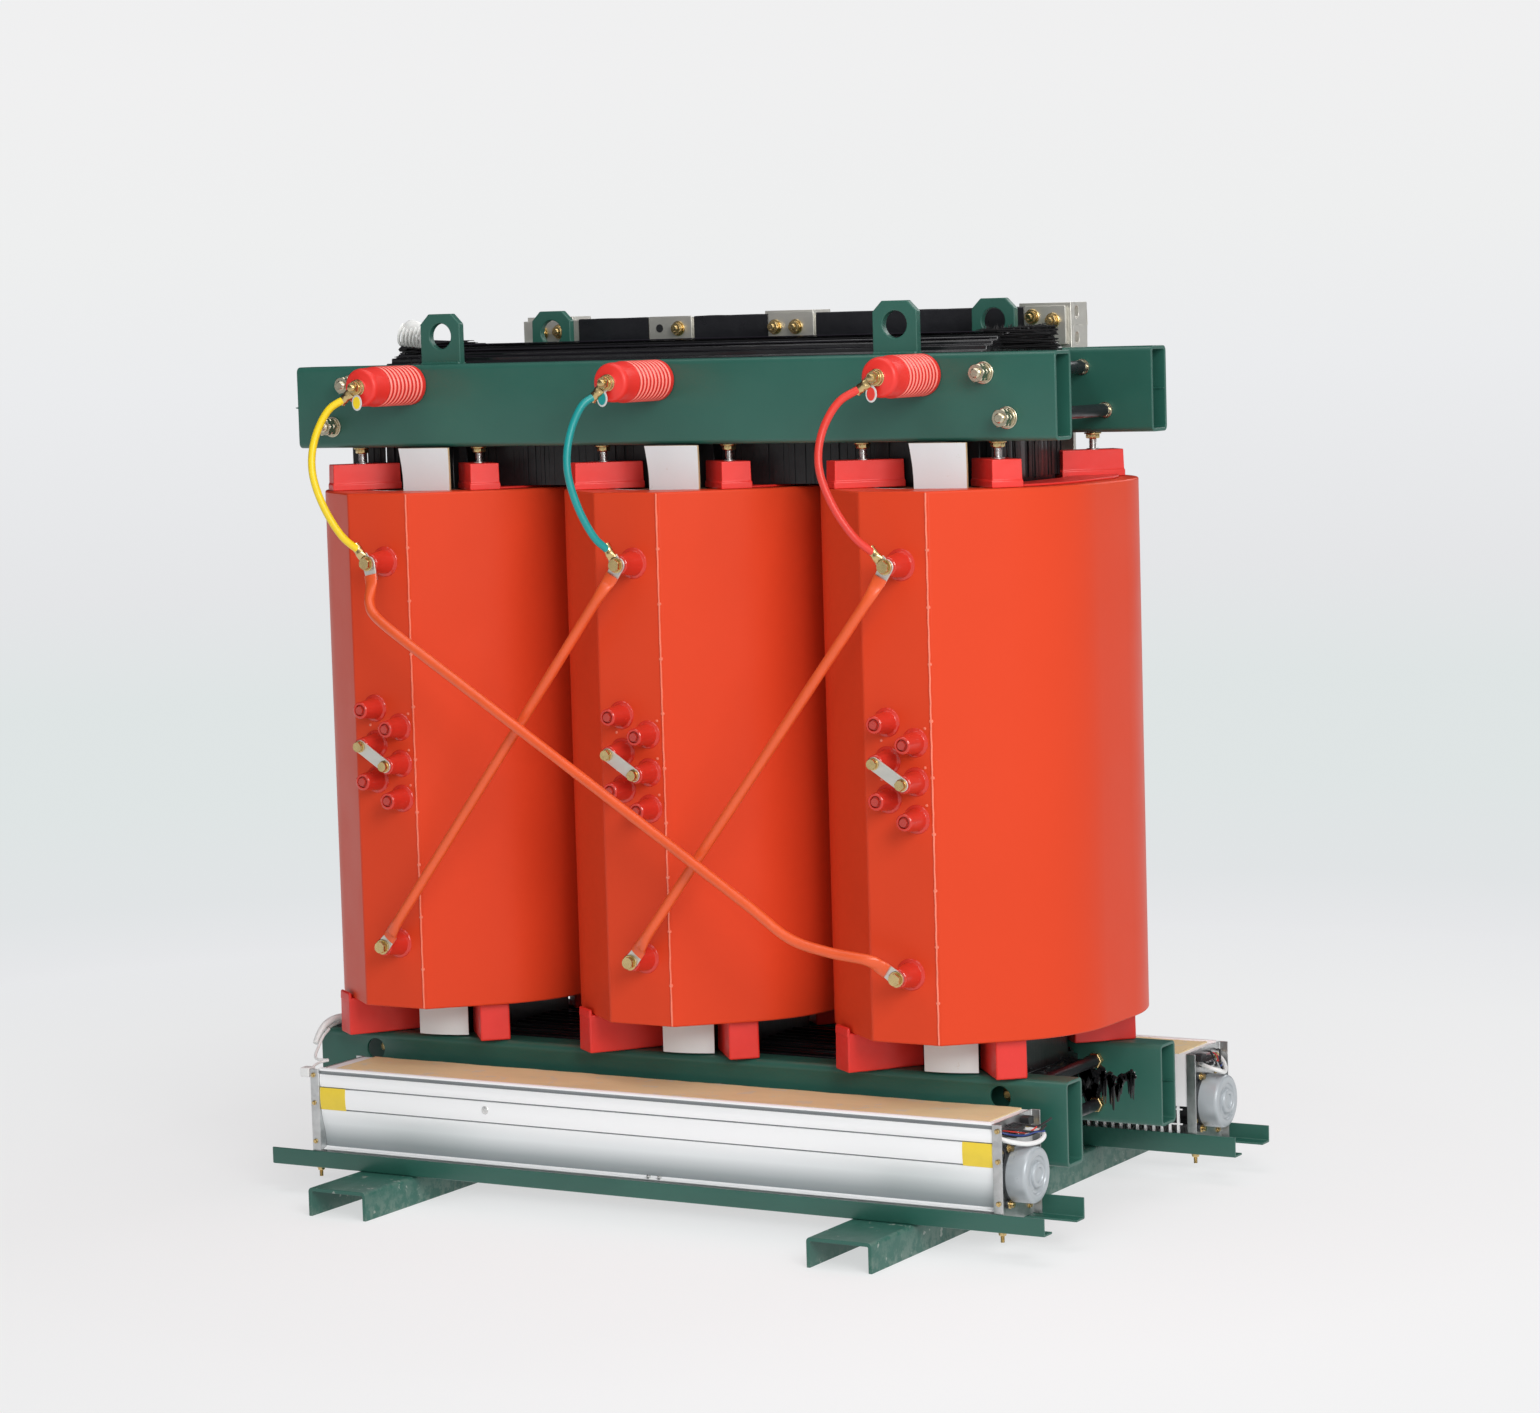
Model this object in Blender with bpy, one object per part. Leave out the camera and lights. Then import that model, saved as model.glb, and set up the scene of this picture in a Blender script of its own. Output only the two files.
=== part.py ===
# Three-phase cast-resin dry-type power transformer with two cross-flow cooling fans.
# Frame: +X along the coil row, -Y is the high-voltage side, +Z up,
# origin at the bottom centre of the base. Dimensions below are in millimetres.
import math
import bpy
import bmesh
from mathutils import Matrix, Vector

MM = 0.001

# ---- driving dimensions (mm) ----
PITCH = 430.0                 # coil centre distance
GAP = 0.3                     # assembly gap between touching pieces
BEAM_T = 50.0                 # clamp tube depth (Y)
BEAM_WALL = 5.0
BEAM_FRONT = 180.3            # outer face of the clamp tubes, +/- Y
BEAM_INNER = 130.3
UP_Z0, UP_Z1 = 1110.0, 1232.0
UP_X0, UP_X1 = -630.4, 640.2
LO_Z0, LO_Z1 = 105.7, 226.0
LO_X0, LO_X1 = -632.0, 633.2
LUG_X, LUG_Z, LUG_W, LUG_TOP, LUG_R, LUG_T = 382.5, 1273.0, 70.0, 1306.0, 19.0, 12.0
BASE_X, BASE_W, BASE_H, BASE_T, BASE_Y = 417.7, 101.4, 42.3, 5.5, 448.6
CORE_W, CORE_Y = 150.0, 130.0
YOKE_X = 505.0
LYOKE_Z0, LYOKE_Z1 = 80.0, 230.0
TYOKE_Z0, TYOKE_Z1 = 1107.0, 1257.0
COIL_Z0, COIL_Z1 = 282.3, 1046.2
OVAL_A = 45.0                 # half length of the straight part of the oval windings
HV_R, HV_RI = 205.5, 152.0
PANEL_Y, PANEL_L, PANEL_R = 271.4, -49.2, 57.6
BAR_R, BAR_RI = 141.0, 138.0
LV_R, LV_RI = 128.0, 94.0
TERM_DX, TERM_ZT, TERM_ZB = 14.0, 946.0, 380.0
TAP_LX, TAP_RX = -13.7, 29.5
TAP_LZ = (729.0, 676.0, 623.0)
TAP_RZ = (702.0, 648.0, 596.0)
TIP_Y = 310.0
INS_DX, INS_Z, INS_TIP = 7.5, 1202.5, 310.0
RAIL_Z = 42.6
F_YC, R_YC = -264.75, 312.0   # fan mid planes
FAN_HALF = 59.75
FAN_AXIS_Z = 113.0
IMP_R = 40.0
FR_X0, RR_X0, RAIL_L = -622.0, -595.0, 1290.0
FAN_X0, FAN_X1, FAN_SHIFT = -534.0, 590.0, 27.0
ROD_UP = ((532.0, 1204.0), (567.0, 1142.0))
ROD_LO = ((531.0, 198.0), (531.0, 133.0))
COILS = (("a", -PITCH), ("b", 0.0), ("c", PITCH))
# the sections below are laid out from the middle coil; the part's own frame is centred on
# the overall extents, from the outside of coil A to the right end of the rear fan rails
CENTRE_X = ((-PITCH - HV_R) + (RR_X0 + RAIL_L)) / 2.0

for o in list(bpy.data.objects):
    bpy.data.objects.remove(o, do_unlink=True)
for m in list(bpy.data.meshes):
    bpy.data.meshes.remove(m)


ROOT = bpy.data.objects.new("transformer", None)
bpy.context.scene.collection.objects.link(ROOT)


# ---- materials ----
def material(name, rgb, metallic=0.0, rough=0.5):
    m = bpy.data.materials.new(name)
    m.use_nodes = True
    b = m.node_tree.nodes.get("Principled BSDF")
    b.inputs["Base Color"].default_value = (rgb[0], rgb[1], rgb[2], 1.0)
    b.inputs["Metallic"].default_value = metallic
    b.inputs["Roughness"].default_value = rough
    m.diffuse_color = (rgb[0], rgb[1], rgb[2], 1.0)
    return m


GREEN = material("green_paint", (0.03, 0.11, 0.085), 0.0, 0.45)
RESIN = material("orange_red_resin", (0.75, 0.065, 0.02), 0.0, 0.35)
RED = material("red_moulding", (0.80, 0.05, 0.04), 0.0, 0.4)
CORE = material("core_varnish", (0.012, 0.012, 0.013), 0.0, 0.3)
LVMAT = material("lv_winding", (0.05, 0.025, 0.018), 0.0, 0.6)
BOARD = material("white_board", (0.75, 0.75, 0.73), 0.0, 0.6)
ALU = material("fan_aluminium", (0.75, 0.77, 0.78), 1.0, 0.35)
GALV = material("galvanised_sheet", (0.55, 0.56, 0.56), 1.0, 0.45)
MOTOR = material("motor_grey", (0.42, 0.45, 0.48), 0.0, 0.45)
BLACK = material("impeller_black", (0.02, 0.02, 0.02), 0.0, 0.5)
ZINC = material("zinc_plated_steel", (0.62, 0.58, 0.42), 1.0, 0.35)
TIN = material("tinned_copper", (0.68, 0.66, 0.60), 1.0, 0.35)
SLEEVE = material("black_sleeve", (0.015, 0.015, 0.016), 0.0, 0.4)
TUBE = material("orange_tube", (0.80, 0.10, 0.03), 0.0, 0.35)
YEL = material("cable_yellow", (0.80, 0.62, 0.02), 0.0, 0.4)
TEAL = material("cable_teal", (0.01, 0.30, 0.28), 0.0, 0.4)
CRED = material("cable_red", (0.62, 0.04, 0.03), 0.0, 0.4)


# ---- building blocks; each returns (verts, faces) in mm ----
def take(bm):
    bm.verts.ensure_lookup_table()
    bm.verts.index_update()
    v = [tuple(q.co) for q in bm.verts]
    f = [tuple(q.index for q in face.verts) for face in bm.faces]
    bm.free()
    return v, f


def place(a, b, c, axis):
    # (a, b) in the section plane, c along the axis
    if axis == "x":
        return (c, a, b)      # section (y, z)
    if axis == "y":
        return (a, c, b)      # section (x, z)
    return (a, b, c)          # section (x, y)


def box(x0, x1, y0, y1, z0, z1):
    bm = bmesh.new()
    mid = Matrix.Translation(((x0 + x1) / 2, (y0 + y1) / 2, (z0 + z1) / 2))
    bmesh.ops.create_cube(bm, size=1.0, matrix=mid @ Matrix.Diagonal((x1 - x0, y1 - y0, z1 - z0, 1.0)))
    return take(bm)


def prism(outline, axis, lo, hi):
    bm = bmesh.new()
    face = bm.faces.new([bm.verts.new(place(a, b, lo, axis)) for a, b in outline])
    out = bmesh.ops.extrude_face_region(bm, geom=[face], use_keep_orig=True)
    moved = [g for g in out["geom"] if isinstance(g, bmesh.types.BMVert)]
    bmesh.ops.translate(bm, verts=moved, vec=Vector(place(0, 0, hi - lo, axis)))
    return take(bm)


def ring(outer, inner, axis, lo, hi):
    n = len(outer)
    v = []
    for path in (outer, inner):
        for c in (lo, hi):
            v += [place(a, b, c, axis) for a, b in path]
    f = []
    for i in range(n):
        j = (i + 1) % n
        f.append((i, j, n + j, n + i))
        f.append((2 * n + j, 2 * n + i, 3 * n + i, 3 * n + j))
        f.append((i, 2 * n + i, 2 * n + j, j))
        f.append((n + i, n + j, 3 * n + j, 3 * n + i))
    return v, f


def revolve(profile, axis, ca, cb, segs, turn=0.0):
    # profile: list of (radius, position along the axis); radius 0 only at the two ends
    v, f, rows = [], [], []
    for r, c in profile:
        if r <= 1e-9:
            v.append(place(ca, cb, c, axis))
            rows.append([len(v) - 1])
        else:
            row = []
            for k in range(segs):
                t = turn + 2 * math.pi * k / segs
                v.append(place(ca + r * math.cos(t), cb + r * math.sin(t), c, axis))
                row.append(len(v) - 1)
            rows.append(row)
    for a, b in zip(rows, rows[1:]):
        for k in range(segs):
            l = (k + 1) % segs
            if len(a) == 1:
                f.append((a[0], b[l], b[k]))
            elif len(b) == 1:
                f.append((a[k], a[l], b[0]))
            else:
                f.append((a[k], a[l], b[l], b[k]))
    if len(rows[0]) > 1:
        f.append(tuple(rows[0])[::-1])
    if len(rows[-1]) > 1:
        f.append(tuple(rows[-1]))
    return v, f


def cyl(axis, ca, cb, r, lo, hi, segs=16, turn=0.0):
    bm = bmesh.new()
    bmesh.ops.create_cone(bm, cap_ends=True, segments=segs, radius1=r, radius2=r, depth=hi - lo,
                          matrix=Matrix.Rotation(turn, 4, "Z"))
    v, f = take(bm)
    mid = (lo + hi) / 2
    return [place(ca + x, cb + y, mid + z, axis) for x, y, z in v], f


def smooth(pts, step):
    # Catmull-Rom curve through the points, read about every `step` mm
    p = [Vector(q) for q in pts]
    p = [p[0] * 2 - p[1]] + p + [p[-1] * 2 - p[-2]]
    out = []
    for i in range(1, len(p) - 2):
        n = max(1, int(round((p[i + 1] - p[i]).length / step)))
        for k in range(n):
            t = k / n
            a, b, c, d = p[i - 1], p[i], p[i + 1], p[i + 2]
            out.append(0.5 * ((2 * b) + (c - a) * t + (2 * a - 5 * b + 4 * c - d) * t * t
                              + (3 * b - a - 3 * c + d) * t * t * t))
    out.append(p[-2])
    return out


def tube_along(pts, radius, step):
    # round bar or cable: a bevelled curve with filled caps
    pts = smooth(pts, step)
    cu = bpy.data.curves.new("route", "CURVE")
    cu.dimensions = "3D"
    cu.bevel_depth = radius
    cu.bevel_resolution = 2
    cu.use_fill_caps = True
    sp = cu.splines.new("POLY")
    sp.points.add(len(pts) - 1)
    for q, p in zip(sp.points, pts):
        q.co = (p[0], p[1], p[2], 1.0)
    ob = bpy.data.objects.new("route", cu)
    bpy.context.scene.collection.objects.link(ob)
    me = bpy.data.meshes.new_from_object(ob.evaluated_get(bpy.context.evaluated_depsgraph_get()))
    bm = bmesh.new()
    bm.from_mesh(me)
    bmesh.ops.remove_doubles(bm, verts=bm.verts, dist=0.001)
    bpy.data.objects.remove(ob, do_unlink=True)
    bpy.data.curves.remove(cu)
    bpy.data.meshes.remove(me)
    return take(bm)


def merge(*parts):
    v, f = [], []
    for pv, pf in parts:
        n = len(v)
        v += pv
        f += [tuple(i + n for i in q) for q in pf]
    return v, f


def mesh_of(name, part):
    v, f = part
    bm = bmesh.new()
    vs = [bm.verts.new(((x - CENTRE_X) * MM, y * MM, z * MM)) for x, y, z in v]
    bm.verts.ensure_lookup_table()
    for q in f:
        bm.faces.new([vs[i] for i in q])
    bmesh.ops.recalc_face_normals(bm, faces=bm.faces)
    me = bpy.data.meshes.new(name)
    bm.to_mesh(me)
    bm.free()
    return me


def combine(obj, part, op):
    tool = bpy.data.objects.new("tool", mesh_of("tool", part))
    bpy.context.scene.collection.objects.link(tool)
    tool.hide_render = True
    tool.display_type = "WIRE"
    mod = obj.modifiers.new("b", "BOOLEAN")
    mod.operation = op
    mod.solver = "EXACT"
    mod.object = tool
    dg = bpy.context.evaluated_depsgraph_get()
    me = bpy.data.meshes.new_from_object(obj.evaluated_get(dg))
    obj.modifiers.clear()
    old = obj.data
    obj.data = me
    bpy.data.meshes.remove(old)
    bpy.data.objects.remove(tool, do_unlink=True)


def node(name, mat, base, add=(), cut=(), origin=None):
    obj = bpy.data.objects.new(name, mesh_of(name, base))
    bpy.context.scene.collection.objects.link(obj)
    for part in add:
        combine(obj, part, "UNION")
    for part in cut:
        combine(obj, part, "DIFFERENCE")
    bm = bmesh.new()
    bm.from_mesh(obj.data)
    bmesh.ops.remove_doubles(bm, verts=bm.verts, dist=0.00001)
    bmesh.ops.dissolve_degenerate(bm, dist=0.000005, edges=bm.edges)
    bmesh.ops.recalc_face_normals(bm, faces=bm.faces)
    # origin on the joint axis for a moving piece, otherwise at the centre of the extents
    if origin:
        o = Vector((origin[0] - CENTRE_X, origin[1], origin[2])) * MM
    else:
        o = Vector([(min(q.co[i] for q in bm.verts) + max(q.co[i] for q in bm.verts)) / 2
                    for i in range(3)])
    bmesh.ops.translate(bm, verts=bm.verts, vec=-o)
    obj.location = o
    obj.parent = ROOT
    bm.to_mesh(obj.data)
    bm.free()
    obj.data.name = name
    obj.data.materials.clear()
    obj.data.materials.append(mat)
    obj.data.shade_smooth()
    obj.data.set_sharp_from_angle(angle=math.radians(35.0))
    return obj


# ---- core: three limbs interleaved with the bottom and top yokes ----
def yoke_section(z0, z1):
    h = [(60.0, 0.0), (95.0, 7.0), (CORE_Y, 21.0)]
    right_lo, right_hi = [], []
    last = None
    for y, d in h:
        if last is not None:
            right_lo.append((last, z0 + d))
            right_hi.append((last, z1 - d))
        right_lo.append((y, z0 + d))
        right_hi.append((y, z1 - d))
        last = y
    right = right_lo + right_hi[::-1]
    left = [(-y, z) for y, z in right[::-1]]
    return right + left


def limb_section(xc):
    q = [(75.0, 90.0), (58.0, 90.0), (58.0, 112.0), (32.0, 112.0), (32.0, CORE_Y)]
    s = [(x, -y) for x, y in q[::-1]] + q
    s = s + [(-x, y) for x, y in q[::-1]] + [(-x, -y) for x, y in q]
    return [(x + xc, y) for x, y in s]


limbs = merge(*[prism(limb_section(xc), "z", LYOKE_Z1 - 30.0, TYOKE_Z0 + 30.0) for _, xc in COILS])
node("core", CORE, prism(yoke_section(LYOKE_Z0, LYOKE_Z1), "x", -YOKE_X, YOKE_X),
     add=[limbs, prism(yoke_section(TYOKE_Z0, TYOKE_Z1), "x", -YOKE_X, YOKE_X)])


# ---- clamp beams: 120 x 50 rectangular tube ----
def tube_section(y0, y1, z0, z1, c):
    return [(y0 + c, z0), (y1 - c, z0), (y1, z0 + c), (y1, z1 - c),
            (y1 - c, z1), (y0 + c, z1), (y0, z1 - c), (y0, z0 + c)]


def beam(name, front, x0, x1, z0, z1, holes, access, lugs):
    s = -1.0 if front else 1.0
    ya, yb = sorted((s * BEAM_FRONT, s * BEAM_INNER))
    w = BEAM_WALL
    body = ring(tube_section(ya, yb, z0, z1, 6.0),
                tube_section(ya + w, yb - w, z0 + w, z1 - w, 2.5), "x", x0, x1)
    add, cut = [], []
    if lugs:
        yl = s * 151.0
        parts, eyes = [], []
        for sx in (-1.0, 1.0):
            xc, h, c = sx * LUG_X, LUG_W / 2, 15.0
            out = [(xc - h, z1 - 3.0), (xc + h, z1 - 3.0), (xc + h, LUG_TOP - c),
                   (xc + h - c, LUG_TOP), (xc - h + c, LUG_TOP), (xc - h, LUG_TOP - c)]
            parts.append(prism(out, "y", yl - LUG_T / 2, yl + LUG_T / 2))
            eyes.append(cyl("y", xc, LUG_Z, LUG_R, yl - 20, yl + 20, 24))
        add.append(merge(*parts))
        cut.append(merge(*eyes))
    bores = []
    for sx in (-1.0, 1.0):
        for hx, hz in holes:
            bores.append(cyl("y", sx * hx, hz, 8.7, min(ya, yb) - 5, max(ya, yb) + 5, 12))
    cut.append(merge(*bores))
    if access:
        acc = []
        lo, hi = (ya - 5, ya + 12) if front else (yb - 12, yb + 5)
        for sx in (-1.0, 1.0):
            for hx, hz in holes:
                acc.append(cyl("y", sx * hx, hz, 16.0, lo, hi, 16))
        cut.append(merge(*acc))
    node(name, GREEN, body, add=add, cut=cut)


beam("upper_clamp_front", True, UP_X0, UP_X1, UP_Z0, UP_Z1, ROD_UP, False, True)
beam("upper_clamp_rear", False, UP_X0, UP_X1, UP_Z0, UP_Z1, ROD_UP, False, True)
beam("lower_clamp_front", True, LO_X0, LO_X1, LO_Z0, LO_Z1, ROD_LO, True, False)
beam("lower_clamp_rear", False, LO_X0, LO_X1, LO_Z0, LO_Z1, ROD_LO, True, False)

# ---- tie rods ----
for side, sx in (("left", -1.0), ("right", 1.0)):
    for k, (hx, hz) in enumerate(ROD_UP):
        x = sx * hx
        rod = revolve([(8.0, -212.0), (8.0, -BEAM_FRONT - 3.3), (15.5, -BEAM_FRONT - 3.3),
                       (15.5, -BEAM_FRONT - GAP), (8.0, -BEAM_FRONT - GAP),
                       (8.0, -BEAM_INNER + GAP), (9.2, -BEAM_INNER + GAP),
                       (9.2, BEAM_INNER - GAP), (8.0, BEAM_INNER - GAP),
                       (8.0, BEAM_FRONT + GAP), (15.5, BEAM_FRONT + GAP),
                       (15.5, BEAM_FRONT + 3.3), (8.0, BEAM_FRONT + 3.3), (8.0, 212.0)],
                      "y", x, hz, 10)
        nuts = merge(cyl("y", x, hz, 13.5, -BEAM_FRONT - 24.0, -BEAM_FRONT - 2.0, 6, 0.3),
                     cyl("y", x, hz, 13.5, BEAM_FRONT + 2.0, BEAM_FRONT + 24.0, 6, 0.3))
        node("upper_tie_rod_%s_%d" % (side, k + 1), ZINC, rod, add=[nuts])
    for k, (hx, hz) in enumerate(ROD_LO):
        x, yi = sx * hx, BEAM_INNER + BEAM_WALL
        rod = revolve([(8.0, -163.0), (8.0, -yi - 3.3), (14.0, -yi - 3.3), (14.0, -yi - GAP),
                       (8.0, -yi - GAP), (8.0, -BEAM_INNER + GAP), (9.2, -BEAM_INNER + GAP),
                       (9.2, BEAM_INNER - GAP), (8.0, BEAM_INNER - GAP), (8.0, yi + GAP),
                       (14.0, yi + GAP), (14.0, yi + 3.3), (8.0, yi + 3.3), (8.0, 163.0)],
                      "y", x, hz, 10)
        nuts = merge(cyl("y", x, hz, 13.0, -yi - 16.0, -yi - 2.0, 6, 0.3),
                     cyl("y", x, hz, 13.0, yi + 2.0, yi + 16.0, 6, 0.3))
        node("lower_tie_rod_%s_%d" % (side, k + 1), ZINC, rod, add=[nuts])

# ---- base channels with welded foot blocks under the lower clamps ----
for side, xc in (("left", -BASE_X), ("right", BASE_X)):
    a, h, t = BASE_W / 2, BASE_H, BASE_T
    sec = [(xc - a, 0.0), (xc - a + t, 0.0), (xc - a + t, h - t), (xc + a - t, h - t),
           (xc + a - t, 0.0), (xc + a, 0.0), (xc + a, h - 2.0), (xc + a - 2.0, h),
           (xc - a + 2.0, h), (xc - a, h - 2.0)]
    feet = merge(box(xc - 38, xc + 38, -178.0, -133.0, h - 2.0, LO_Z0 - GAP),
                 box(xc - 38, xc + 38, 133.0, 178.0, h - 2.0, LO_Z0 - GAP))
    node("base_channel_%s" % side, GREEN, prism(sec, "y", -BASE_Y, BASE_Y), add=[feet])


# ---- fan rails: angle section ----
def rail(name, y, inward, tall, x0):
    t, w = 3.0, 25.0
    s = inward
    sec = [(y, RAIL_Z), (y + s * w, RAIL_Z), (y + s * w, RAIL_Z + t), (y + s * t, RAIL_Z + t),
           (y + s * t, RAIL_Z + tall), (y, RAIL_Z + tall)]
    node(name, GREEN, prism(sec, "x", x0, x0 + RAIL_L))


rail("fan_rail_front_outer", F_YC - FAN_HALF - 3.5, 1.0, 25.0, FR_X0)
rail("fan_rail_front_inner", F_YC + FAN_HALF + 3.5, -1.0, 30.0, FR_X0)
rail("fan_rail_rear_inner", R_YC - FAN_HALF - 3.5, 1.0, 30.0, RR_X0)
rail("fan_rail_rear_outer", R_YC + FAN_HALF + 3.5, -1.0, 25.0, RR_X0)


# ---- windings ----
def oval(r, xc, angles):
    out = []
    for t in angles:
        off = OVAL_A if math.sin(t) > 0 else -OVAL_A
        if abs(math.sin(t)) < 1e-9:
            continue
        out.append((xc + r * math.cos(t), off + r * math.sin(t)))
    return out


def oval_angles(n):
    # half circle at each end, straight sides between them
    a = [math.pi * (k + 0.0) / n for k in range(n + 1)]
    eps = 1e-6
    a[0], a[-1] = eps, math.pi - eps
    return a + [math.pi + t for t in a]


ANG = oval_angles(16)


def hv_outline(xc):
    cy = -OVAL_A
    r = HV_R

    def touch(px, sgn):
        dx, dy = px, -PANEL_Y - cy
        d = math.hypot(dx, dy)
        return math.atan2(dy, dx) + sgn * math.acos(r / d)

    t1 = touch(PANEL_R, 1)
    t2 = touch(PANEL_L, -1) + 2 * math.pi
    n = 17
    first = [t1 + (0.0 - t1) * k / 5 for k in range(5)] + [-1e-6]
    mid = [math.pi * k / n for k in range(n + 1)]
    mid[0], mid[-1] = 1e-6, math.pi - 1e-6
    last = [math.pi + 1e-6] + [math.pi + (t2 - math.pi) * k / 5 for k in range(1, 6)]
    ang = first + mid + last
    pts = []
    for t in ang:
        off = OVAL_A if math.sin(t) > 0 else -OVAL_A
        pts.append((xc + r * math.cos(t), off + r * math.sin(t)))
    ins = []
    for t in ang:
        off = OVAL_A if math.sin(t) > 0 else -OVAL_A
        ins.append((xc + HV_RI * math.cos(t), off + HV_RI * math.sin(t)))
    # panel corners
    pts.append((xc + PANEL_L, -PANEL_Y))
    pts.append((xc + PANEL_R, -PANEL_Y))
    for t in (t2 + (t1 + 2 * math.pi - t2) * 0.33, t2 + (t1 + 2 * math.pi - t2) * 0.67):
        ins.append((xc + HV_RI * math.cos(t), -OVAL_A + HV_RI * math.sin(t)))
    return pts, ins


for ph, xc in COILS:
    outer, inner = hv_outline(xc)
    body = ring(outer, inner, "z", COIL_Z0, COIL_Z1)
    cones = []
    for z in (TERM_ZT, TERM_ZB):
        cones.append(revolve([(18.0, -PANEL_Y + 3), (18.0, -PANEL_Y - 4), (13.0, -TIP_Y)],
                             "y", xc + TERM_DX, z, 14))
    for zl in TAP_LZ:
        cones.append(revolve([(16.5, -PANEL_Y + 3), (16.5, -PANEL_Y - 4), (12.0, -TIP_Y)],
                             "y", xc + TAP_LX, zl, 12))
    for zr in TAP_RZ:
        cones.append(revolve([(16.5, -PANEL_Y + 3), (16.5, -PANEL_Y - 4), (12.0, -TIP_Y)],
                             "y", xc + TAP_RX, zr, 12))
    seam = box(xc + PANEL_R - 5.0, xc + PANEL_R + 0.6, -PANEL_Y - 2.5, -PANEL_Y + 6.0,
               COIL_Z0 + 2.0, COIL_Z1 - 2.0)
    node("hv_coil_%s" % ph, RESIN, body, add=[merge(*cones), seam])
    node("lv_coil_%s" % ph, LVMAT, ring(oval(LV_R, xc, ANG), oval(LV_RI, xc, ANG), "z",
                                        COIL_Z0, COIL_Z1))
    # duct barrier with a front apron below and a front board above
    tube = ring(oval(BAR_R, xc, ANG), oval(BAR_RI, xc, ANG), "z", COIL_Z0 + 0.3, COIL_Z1 - 0.5)
    ts = [math.radians(-96 + 4.7 * k) for k in range(8)]
    arc = [(xc + (BAR_R - 0.3) * math.cos(t), -OVAL_A + (BAR_R - 0.3) * math.sin(t)) for t in ts] + \
          [(xc + (BAR_RI + 0.3) * math.cos(t), -OVAL_A + (BAR_RI + 0.3) * math.sin(t)) for t in ts[::-1]]
    apron = prism(arc, "z", LO_Z1 + 2.0, COIL_Z0 + 20.0)
    neck = box(xc - 12.0, xc + 12.0, -188.0, -184.3, COIL_Z1 - 30.0, COIL_Z1 + 8.0)
    board = prism([(xc - 8.0, COIL_Z1 + 0.6), (xc + 76.0, COIL_Z1 + 0.6),
                   (xc + 76.0, UP_Z0 - 1.0), (xc - 13.0, UP_Z0 - 1.0)], "y", -188.0, -184.3)
    node("barrier_%s" % ph, BOARD, tube, add=[apron, neck, board])


# ---- coil support blocks: four radial blocks on one end ring ----
def radial_block(xc, ang, r0, r1, w, z0, z1):
    t = math.radians(ang)
    oy = OVAL_A if math.sin(t) > 0 else -OVAL_A
    ux, uy = math.cos(t), math.sin(t)
    vx, vy = -uy, ux
    pts = []
    for r, s in ((r0, -w / 2), (r1, -w / 2), (r1, w / 2), (r0, w / 2)):
        pts.append((xc + ux * r + vx * s, oy + uy * r + vy * s))
    return prism(pts, "z", z0, z1)


def end_ring(xc, z0, z1):
    # three quarters of a ring, open at the front
    n = 9
    ang = [math.radians(-45 + 45.0 * k / 4) for k in range(4)] + [-1e-6, 1e-6] + \
          [math.radians(180.0 * k / n) for k in range(1, n)] + [math.pi - 1e-6, math.pi + 1e-6] + \
          [math.radians(180 + 45.0 * k / 4) for k in range(1, 5)]
    out, inn = [], []
    for t in ang:
        off = OVAL_A if math.sin(t) > 0 else -OVAL_A
        out.append((xc + 180.0 * math.cos(t), off + 180.0 * math.sin(t)))
        inn.append((xc + 104.0 * math.cos(t), off + 104.0 * math.sin(t)))
    return prism(out + inn[::-1], "z", z0, z1)


for ph, xc in COILS:
    z0, z1 = COIL_Z1 + GAP, COIL_Z1 + 39.0
    blocks = merge(*[radial_block(xc, a, 95.0, 199.0 if a == 225 else 190.0, 45.0, z0, z1)
                     for a in (45, 135, 225, 315)])
    screws, nuts = [], []
    for sx in (-1.0, 1.0):
        for sy in (-1.0, 1.0):
            cx, cy = xc + sx * 106.0, sy * 151.0
            screws.append(cyl("z", cx, cy, 5.5, z1 - 4.0, UP_Z0 - GAP, 10))
            nuts.append(cyl("z", cx, cy, 10.0, UP_Z0 - 9.0, UP_Z0 - GAP, 6, 0.2))
    node("coil_support_top_%s" % ph, RED, end_ring(xc, z0, z0 + 3.0),
         add=[blocks, merge(*screws), merge(*nuts)])
    z0, z1 = LO_Z1 + GAP, COIL_Z0 - GAP
    parts = [radial_block(xc, a, 95.0, 190.0, 45.0, z0, z1) for a in (45, 135)]
    parts.append(radial_block(xc, 311, 97.0, 190.0, 45.0, z0, z1))
    parts.append(radial_block(xc, 233, 97.0, 215.0, 45.0, z0, z1))
    lip = radial_block(xc, 233, 209.0, 215.0, 45.0, z1 - 4.0, z1 + 8.5)
    node("coil_support_bottom_%s" % ph, RED, end_ring(xc, z1 - 3.0, z1),
         add=[merge(*parts), lip])

# ---- high-voltage post insulators ----
for ph, xc in COILS:
    x = xc + INS_DX
    prof = [(29.5, -BEAM_FRONT - GAP), (29.5, -BEAM_FRONT - 8.0)]
    y = -BEAM_FRONT - 8.0
    for k in range(9):
        prof += [(26.0, y - 4.0), (29.5, y - 7.0), (29.5, y - 9.6)]
        y -= 9.6
    prof += [(28.0, y - 4.0), (27.5, -INS_TIP + 4.0), (24.5, -INS_TIP), (9.0, -INS_TIP),
             (9.0, -INS_TIP - 5.0)]
    node("insulator_%s" % ph, RED, revolve(prof, "y", x, INS_Z, 16))


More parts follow.
